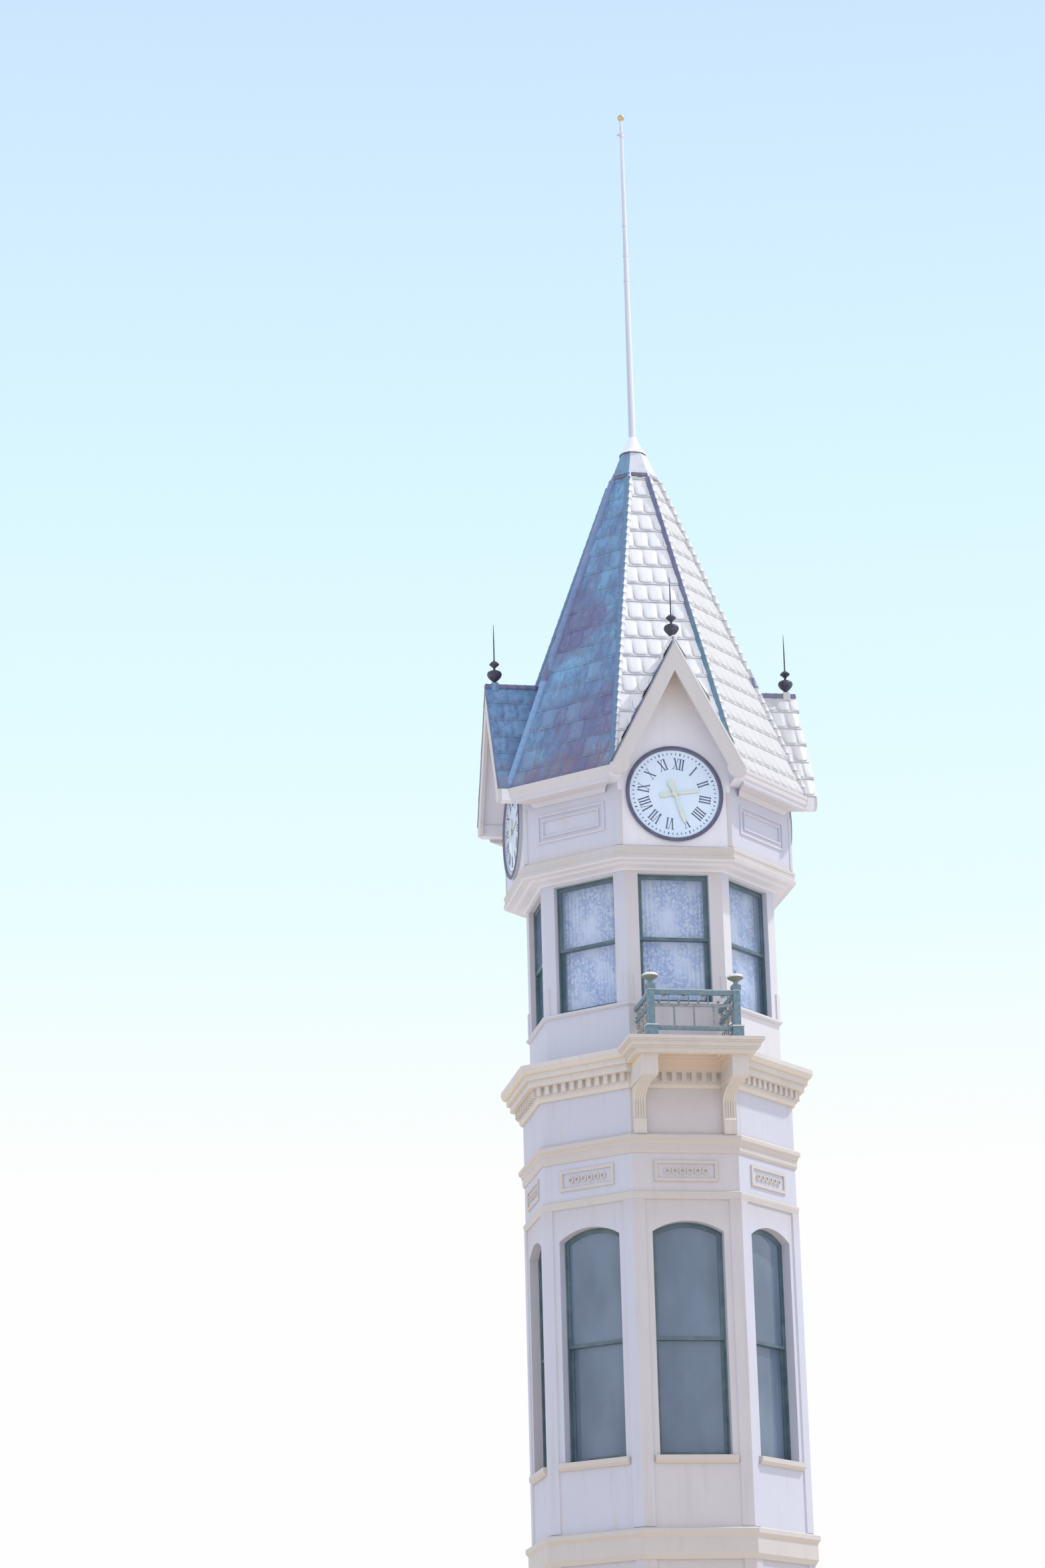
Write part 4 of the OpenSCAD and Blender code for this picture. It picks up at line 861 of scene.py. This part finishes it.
def cap_shadow_bands(material):
    """Dark bands as painted shadow: one under the smooth cap's foot, and a dark lip under the cone's rim."""
    deep, inner = 0.062, 0.02
    foot, top = SPIRE_TOP_Z - deep, SPIRE_TOP_Z - 0.001
    low, high = SPIRE_TOP_HALF + deep * SPIRE_LEAN, SPIRE_TOP_HALF
    rim_foot, rim_top, rim_inner = CAP_TOP_Z - 0.036, CAP_TOP_Z - 0.001, 0.145
    points, faces = gathered([
        octagon_ring([(low - inner, foot), (low + 0.024, foot), (high + 0.022, top), (high - inner, top)]),
        octagon_ring([(rim_inner, rim_foot), (0.16, rim_foot), (0.168, rim_top), (rim_inner, rim_top)]),
    ])
    add_piece("cap_shadow_bands", points, faces, material)


def strokes_of(number):
    """Strokes of a Roman number as (foot x, head x, width), for a height of 1, and its whole width."""
    broad, thin = 0.115, 0.04
    letters = {"I": (0.245, [(0.12, 0.12, broad)]), "V": (0.51, [(0.26, 0.08, broad), (0.28, 0.44, thin)]),
               "X": (0.51, [(0.44, 0.08, broad), (0.07, 0.43, thin)])}
    x, found = 0.0, []
    for letter in number:
        advance, strokes = letters[letter]
        found += [(x + foot, x + head, width) for foot, head, width in strokes]
        x += advance
    return found, x


def clockwise(degrees):
    """The matrix that turns rows of flat points clockwise."""
    a = radians(degrees)
    return np.array([[cos(a), -sin(a)], [sin(a), cos(a)]])


def dial_numbers(material):
    """Numbers and minute dots of the four dials: flat strokes, each a thin prism of a four-cornered outline.

    A stroke's corners are foot and head +- width / 2, with a narrow foot and head bar. On the dial they stand out from
    the centre, each turned a shift of 10 degrees past its hour or minute.
    """
    shift, tall, number_r, dot_r = 10, 0.142, 0.385, 0.51
    bar_w, bar_tall = 0.105, 0.035
    outlines = []
    for hour, number in enumerate("I II III IIII V VI VII VIII IX X XI XII".split(), 1):
        found, width = strokes_of(number)
        for foot, head, w in found:
            bars = [[(foot - w / 2, 0), (foot + w / 2, 0), (head + w / 2, 1), (head - w / 2, 1)],
                    [(foot - bar_w, 0), (foot + bar_w, 0), (foot + bar_w, bar_tall), (foot - bar_w, bar_tall)],
                    [(head - bar_w, 1 - bar_tall), (head + bar_w, 1 - bar_tall), (head + bar_w, 1), (head - bar_w, 1)]]
            for bar in bars:
                corners = (np.array(bar) - [width / 2, 0.5]) * tall + [0, number_r]
                outlines.append(corners @ clockwise(30 * hour + shift))
    for minute in range(60):
        w, h = (0.0055, 0.011) if minute % 5 else (0.008, 0.016)
        dot = np.array([(-w, -h), (w, -h), (w, h), (-w, h)]) + [0, dot_r]
        outlines.append(dot @ clockwise(6 * minute + shift))
    flat = np.array(outlines)
    gap, thick = 0.0002, 0.0022
    back = np.concatenate([flat[..., :1], np.full_like(flat[..., :1], gap - DIAL_Y), flat[..., 1:] + DIAL_Z], -1)
    points = np.concatenate([back - [0, thick, 0], back], 1).reshape(-1, 3)
    one = np.array([[0, 1, 2, 3], [4, 7, 6, 5], [1, 0, 4, 5], [2, 1, 5, 6], [3, 2, 6, 7], [0, 3, 7, 4]])
    faces = (one[None] + (np.arange(len(flat)) * 8)[:, None, None]).reshape(-1, 4)
    points, faces = gathered([(turned(points, face), faces) for face in GABLE_FACES])
    add_piece("dial_numbers", points, faces, material)


def lace_curtains(material):
    """Lace behind each window, hung in soft gathers from its batten.

    At a share u of the width and v of the drop, the cloth stands out by a sine of 17 gathers whose depth grows
    from 3 to 8 mm down the drop, plus a slow sway; its hem is a row of shallow scallops. Its flat width is the
    mean length of those waves.
    """
    columns, rows, gathers, scallops = 205, 36, 17, 5
    width, top, drop, hem = 0.88, 13.726, 1.7, 0.02
    wall, clear, depth_top, depth_more, sway = 0.18, 0.02, 0.0035, 0.0045, 0.0015
    u = np.linspace(0, 1, columns)
    v = np.linspace(0, 1, rows)[:, None]
    phase = 2 * pi * gathers * (u + 0.006 * np.sin(9 * u + 2 * v))
    wave = (depth_top + depth_more * v) * np.sin(phase) + sway * np.sin(5 * u * pi + 3 * v)
    x = width * (u - 0.5) + 0 * v
    z = top - drop * v - hem * v ** 8 * np.abs(np.sin(2 * pi * scallops * u))
    grid = np.stack([x, wave - (WINDOW_HALF - wall) + clear, z], -1)
    flat = float(np.linalg.norm(np.diff(grid, axis=1), axis=-1).sum(1).mean())
    length = float(np.linalg.norm(np.diff(grid, axis=0), axis=-1).sum(0).mean())
    chart = np.stack([u * flat + 0 * v, (1 - v) * length + 0 * u], -1).reshape(-1, 2)
    faces = grid_faces(1, rows, columns, turn=True)
    for face in range(8):
        piece = add_piece(f"lace_curtain_{face + 1}", turned(grid.reshape(-1, 3), face), faces, material, chart)
    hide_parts("lace_curtains")


def spiral_strip(x, start, turns, radius):
    """A flat bar wound in a scroll about x: its middle line is r(t) over the turns, from the radius inwards."""
    samples, thick, deep, end_radius = 40, 0.008, 0.01, 0.22 * radius
    t = np.linspace(0, 1, samples)
    a = start + turns * 2 * pi * t
    r = radius + (end_radius - radius) * t ** 0.8
    middle = np.stack([np.cos(a) * r + x, np.sin(a) * r], -1)
    along = np.gradient(middle, axis=0)
    along /= np.linalg.norm(along, axis=1)[:, None]
    across = np.stack([-along[:, 1], along[:, 0]], -1)
    ring = []
    for side, out in ((-1, -1), (1, -1), (1, 1), (-1, 1)):
        flat = middle + across * side * thick / 2
        ring.append(np.stack([flat[:, 0], np.full(samples, out * deep / 2), flat[:, 1]], -1))
    last = 4 * samples - 1
    ends = np.array([[0, 1, 2, 3], [last, last - 1, last - 2, last - 3]])
    return np.stack(ring, 1).reshape(-1, 3), np.vstack([grid_faces(1, samples, 4, wrap=True), ends])


def railing_scrolls(material):
    """Pairs of scrolls on the balcony's rails: two rows and a small one in each bay of its sides, curls in front."""
    bays, curl_r, curl_z = 4, 0.022, 0.4955
    rows = ((0.1985, 0.0605), (0.3165, 0.0605), (0.463, 0.053))

    def pair(radius):
        near, far, turns = 0.55 * radius, 0.2, 1.35
        return [spiral_strip(-near, far, turns, radius), spiral_strip(near, pi - far, -turns, radius)]

    parts = []
    front_l = 2 * POST_X - POST_W
    side_l = BALCONY_Y - POST_W / 2 - WINDOW_HALF
    for k in range(bays):
        x = -front_l / 2 + front_l * (k + 0.5) / bays
        parts += [(points + [x, -BALCONY_Y, TOWER_Z + curl_z], faces) for points, faces in pair(curl_r)]
    for side in (-1, 1):
        for k in range(bays):
            y = -WINDOW_HALF - side_l * (k + 0.5) / bays
            for level, radius in rows:
                for points, faces in pair(radius):
                    spun = points[:, [1, 0, 2]] * [1, -1, 1]
                    parts.append((spun + [side * POST_X, y, TOWER_Z + level], faces))
    points, faces = gathered(parts)
    add_piece("railing_scrolls", points, faces, material)


def studio_floor(half=60, level=-0.002):
    """Pale floor in soft clouds."""
    mesh = bpy.data.meshes.new("studio_floor")
    corners = [(x * half, y * half, level) for x, y in ((-1, -1), (1, -1), (1, 1), (-1, 1))]
    mesh.from_pydata(corners, [], [(0, 1, 2, 3)])
    f = Finish("studio_floor", Roughness=0.9)
    f.give(Base_Color=f.noise(0.4, 2.0, 0.5).tint(0.3, 0.7, (0.66, 0.605, 0.545), (0.675, 0.62, 0.56)))
    mesh.materials.append(f.material)
    added("studio_floor", mesh)


def studio_sky():
    """The world: camera, gloss and glass see a blue sky that pales to white, and all else gets a plain pale light."""
    heights = ((0.2, (0.985, 0.99, 0.985)), (0.27, (0.825, 0.99, 1.0)), (0.37, (0.715, 0.945, 1.0)),
               (0.5, (0.605, 0.79, 1.0)))
    world = bpy.data.worlds.new("studio_sky")
    world.use_nodes = True
    bpy.context.scene.world = world
    n = Nodes(world.node_tree)
    n.tree.nodes.clear()
    sky = n.node("ValToRGB", {0: n.parts(n.node("TexCoord", {}, "Generated"))[2]})
    stops = sky.socket.node.color_ramp.elements
    while len(stops) < len(heights):
        stops.new(0.5)
    for stop, (height, colour) in zip(stops, heights):
        stop.position, stop.color = height, (*colour, 1)
    seen = n.node("Background", {"Color": sky, "Strength": 1.0})
    lit = n.node("Background", {"Color": (0.86, 0.93, 1.08, 1), "Strength": 0.97})
    camera, gloss, glass = (n.node("LightPath", {}, f"Is {kind} Ray") for kind in ("Camera", "Glossy", "Transmission"))
    blend = n.node("MixShader", {0: camera.at_least(gloss).at_least(glass), 1: lit, 2: seen})
    n.tree.links.new(blend.socket, n.tree.nodes.new("ShaderNodeOutputWorld").inputs[0])


def stand(kind, data, right, up, back, place=(0, 0, 0)):
    """A lamp or camera at its place, looking against the direction back."""
    thing = added(kind, data)
    thing.matrix_world = Matrix([[right[k], up[k], back[k], place[k]] for k in range(3)] + [[0, 0, 0, 1]])
    return thing


def studio_sun():
    """One broad sun from the right."""
    lamp = bpy.data.lights.new("sun", "SUN")
    lamp.energy = 2.3
    lamp.angle = radians(2)
    lamp.color = (1.0, 0.975, 0.93)
    height, bearing = radians(54), radians(7)
    towards = np.array([cos(height) * cos(bearing), cos(height) * sin(bearing), sin(height)])
    side = np.cross([0, 0, 1.0], towards)
    side /= np.linalg.norm(side)
    stand("sun", lamp, side, np.cross(towards, side), towards)


def photo_camera():
    """The camera at the photograph's place, as it was fitted: angles in radians, and the focal length in pixels."""
    azimuth, distance, eye_z = -0.21, 43.5578, 1.4
    yaw, pitch, roll = 0.0356, 0.3094, 0.025
    focal, photo_height, sensor = 5397.5, 2352, 36
    heading = azimuth + yaw
    forward = np.array([-sin(heading) * cos(pitch), cos(heading) * cos(pitch), sin(pitch)])
    right = np.array([cos(heading), sin(heading), 0.0])
    above = np.cross(right, forward)
    across = right * cos(roll) - above * sin(roll)
    above = right * sin(roll) + above * cos(roll)
    data = bpy.data.cameras.new("camera")
    data.lens = focal / photo_height * sensor
    data.sensor_width = sensor
    data.clip_start, data.clip_end = 0.5, 400
    eye = (sin(azimuth) * distance, -cos(azimuth) * distance, eye_z)
    bpy.context.scene.camera = stand("camera", data, across, above, -forward, eye)


bpy.context.scene.view_settings.view_transform = "Standard"
studio_floor()
studio_sky()
studio_sun()
photo_camera()

# The finish of each material slot, and the nodes that have one of their own
paint = {
    "wall_paint": wall_paint(), "board_paint": board_paint(), "trim_paint": trim_paint(),
    "joinery_paint": joinery_paint(), "lace": lace(), "floor_timber": floor_boards(), "dial_enamel": dial_enamel(),
    # Pale blue window glass: its colour is a painted sky reflection
    "window_glass": old_glass("window_glass", 0.04, (2.4, 1.1), 7.0, ((0.44, 0.6, 0.94), (0.54, 0.7, 0.98)),
                              0.09, 0.13),
    "ring_paint": ring_paint(), "roof_shingle": roof_metal(), "finial_iron": finial_iron(), "cap_paint": cap_metal(),
    "pole_paint": pole_paint(), "railing_paint": railing_paint(),
    "hand_gilt": worn_paint("hand_gilding", 16.0, (0.35, 0.7), ((0.78, 0.81, 0.68), (0.71, 0.76, 0.68)),
                            0.36, 0.25, 0.0004, Metallic=0.25),
    "ball_gilt": worn_paint("ball_gilt", 32.0, (0.4, 0.75), ((0.78, 0.58, 0.26), (0.42, 0.32, 0.2)),
                            0.25, 0.3, 0.0006, Metallic=0.85),
}
inside_gables = gable_paint()
hips = hip_metal()
special = {
    "gable_linings": inside_gables, "clock_walls_square": inside_gables, "hip_rolls": hips,
    # Dark blue storey glass: its colour is a painted reflection that mostly covers the room behind
    "lower_glass": old_glass("storey_glass", 0.05, (1.8, 0.9), 6.0, ((0.135, 0.19, 0.27), (0.2, 0.27, 0.37)),
                             0.76, 0.12),
    "clock_corbel": board_paint("corbel_paint", 0.85), "consoles": trim_paint("bracket_paint", 0.3),
}
slot_of = {row["node"]: row["material_slot"] for row in frame["record"]["subparts"]}
for name, node in frame["nodes"].items():
    for slot in node.material_slots:
        slot.material = special.get(name, paint[slot_of[name]])

plates_metal = shingle_patina()
spire_shingles(plates_metal)
gable_shingles(plates_metal)
hip_caps(hips)
cap_shadow_bands(cap_shadow_paint())
dial_numbers(worn_paint("numeral_paint", 45.0, (0.45, 0.75), ((0.145, 0.165, 0.24), (0.23, 0.26, 0.345)),
                        0.45, 0.2, 0.0002, detail=3.0))
lace_curtains(paint["lace"])
railing_scrolls(worn_paint("scroll_paint", 42.0, (0.42, 0.62), ((0.44, 0.46, 0.45), (0.3, 0.235, 0.175)),
                           0.5, 0.3, 0.0008))
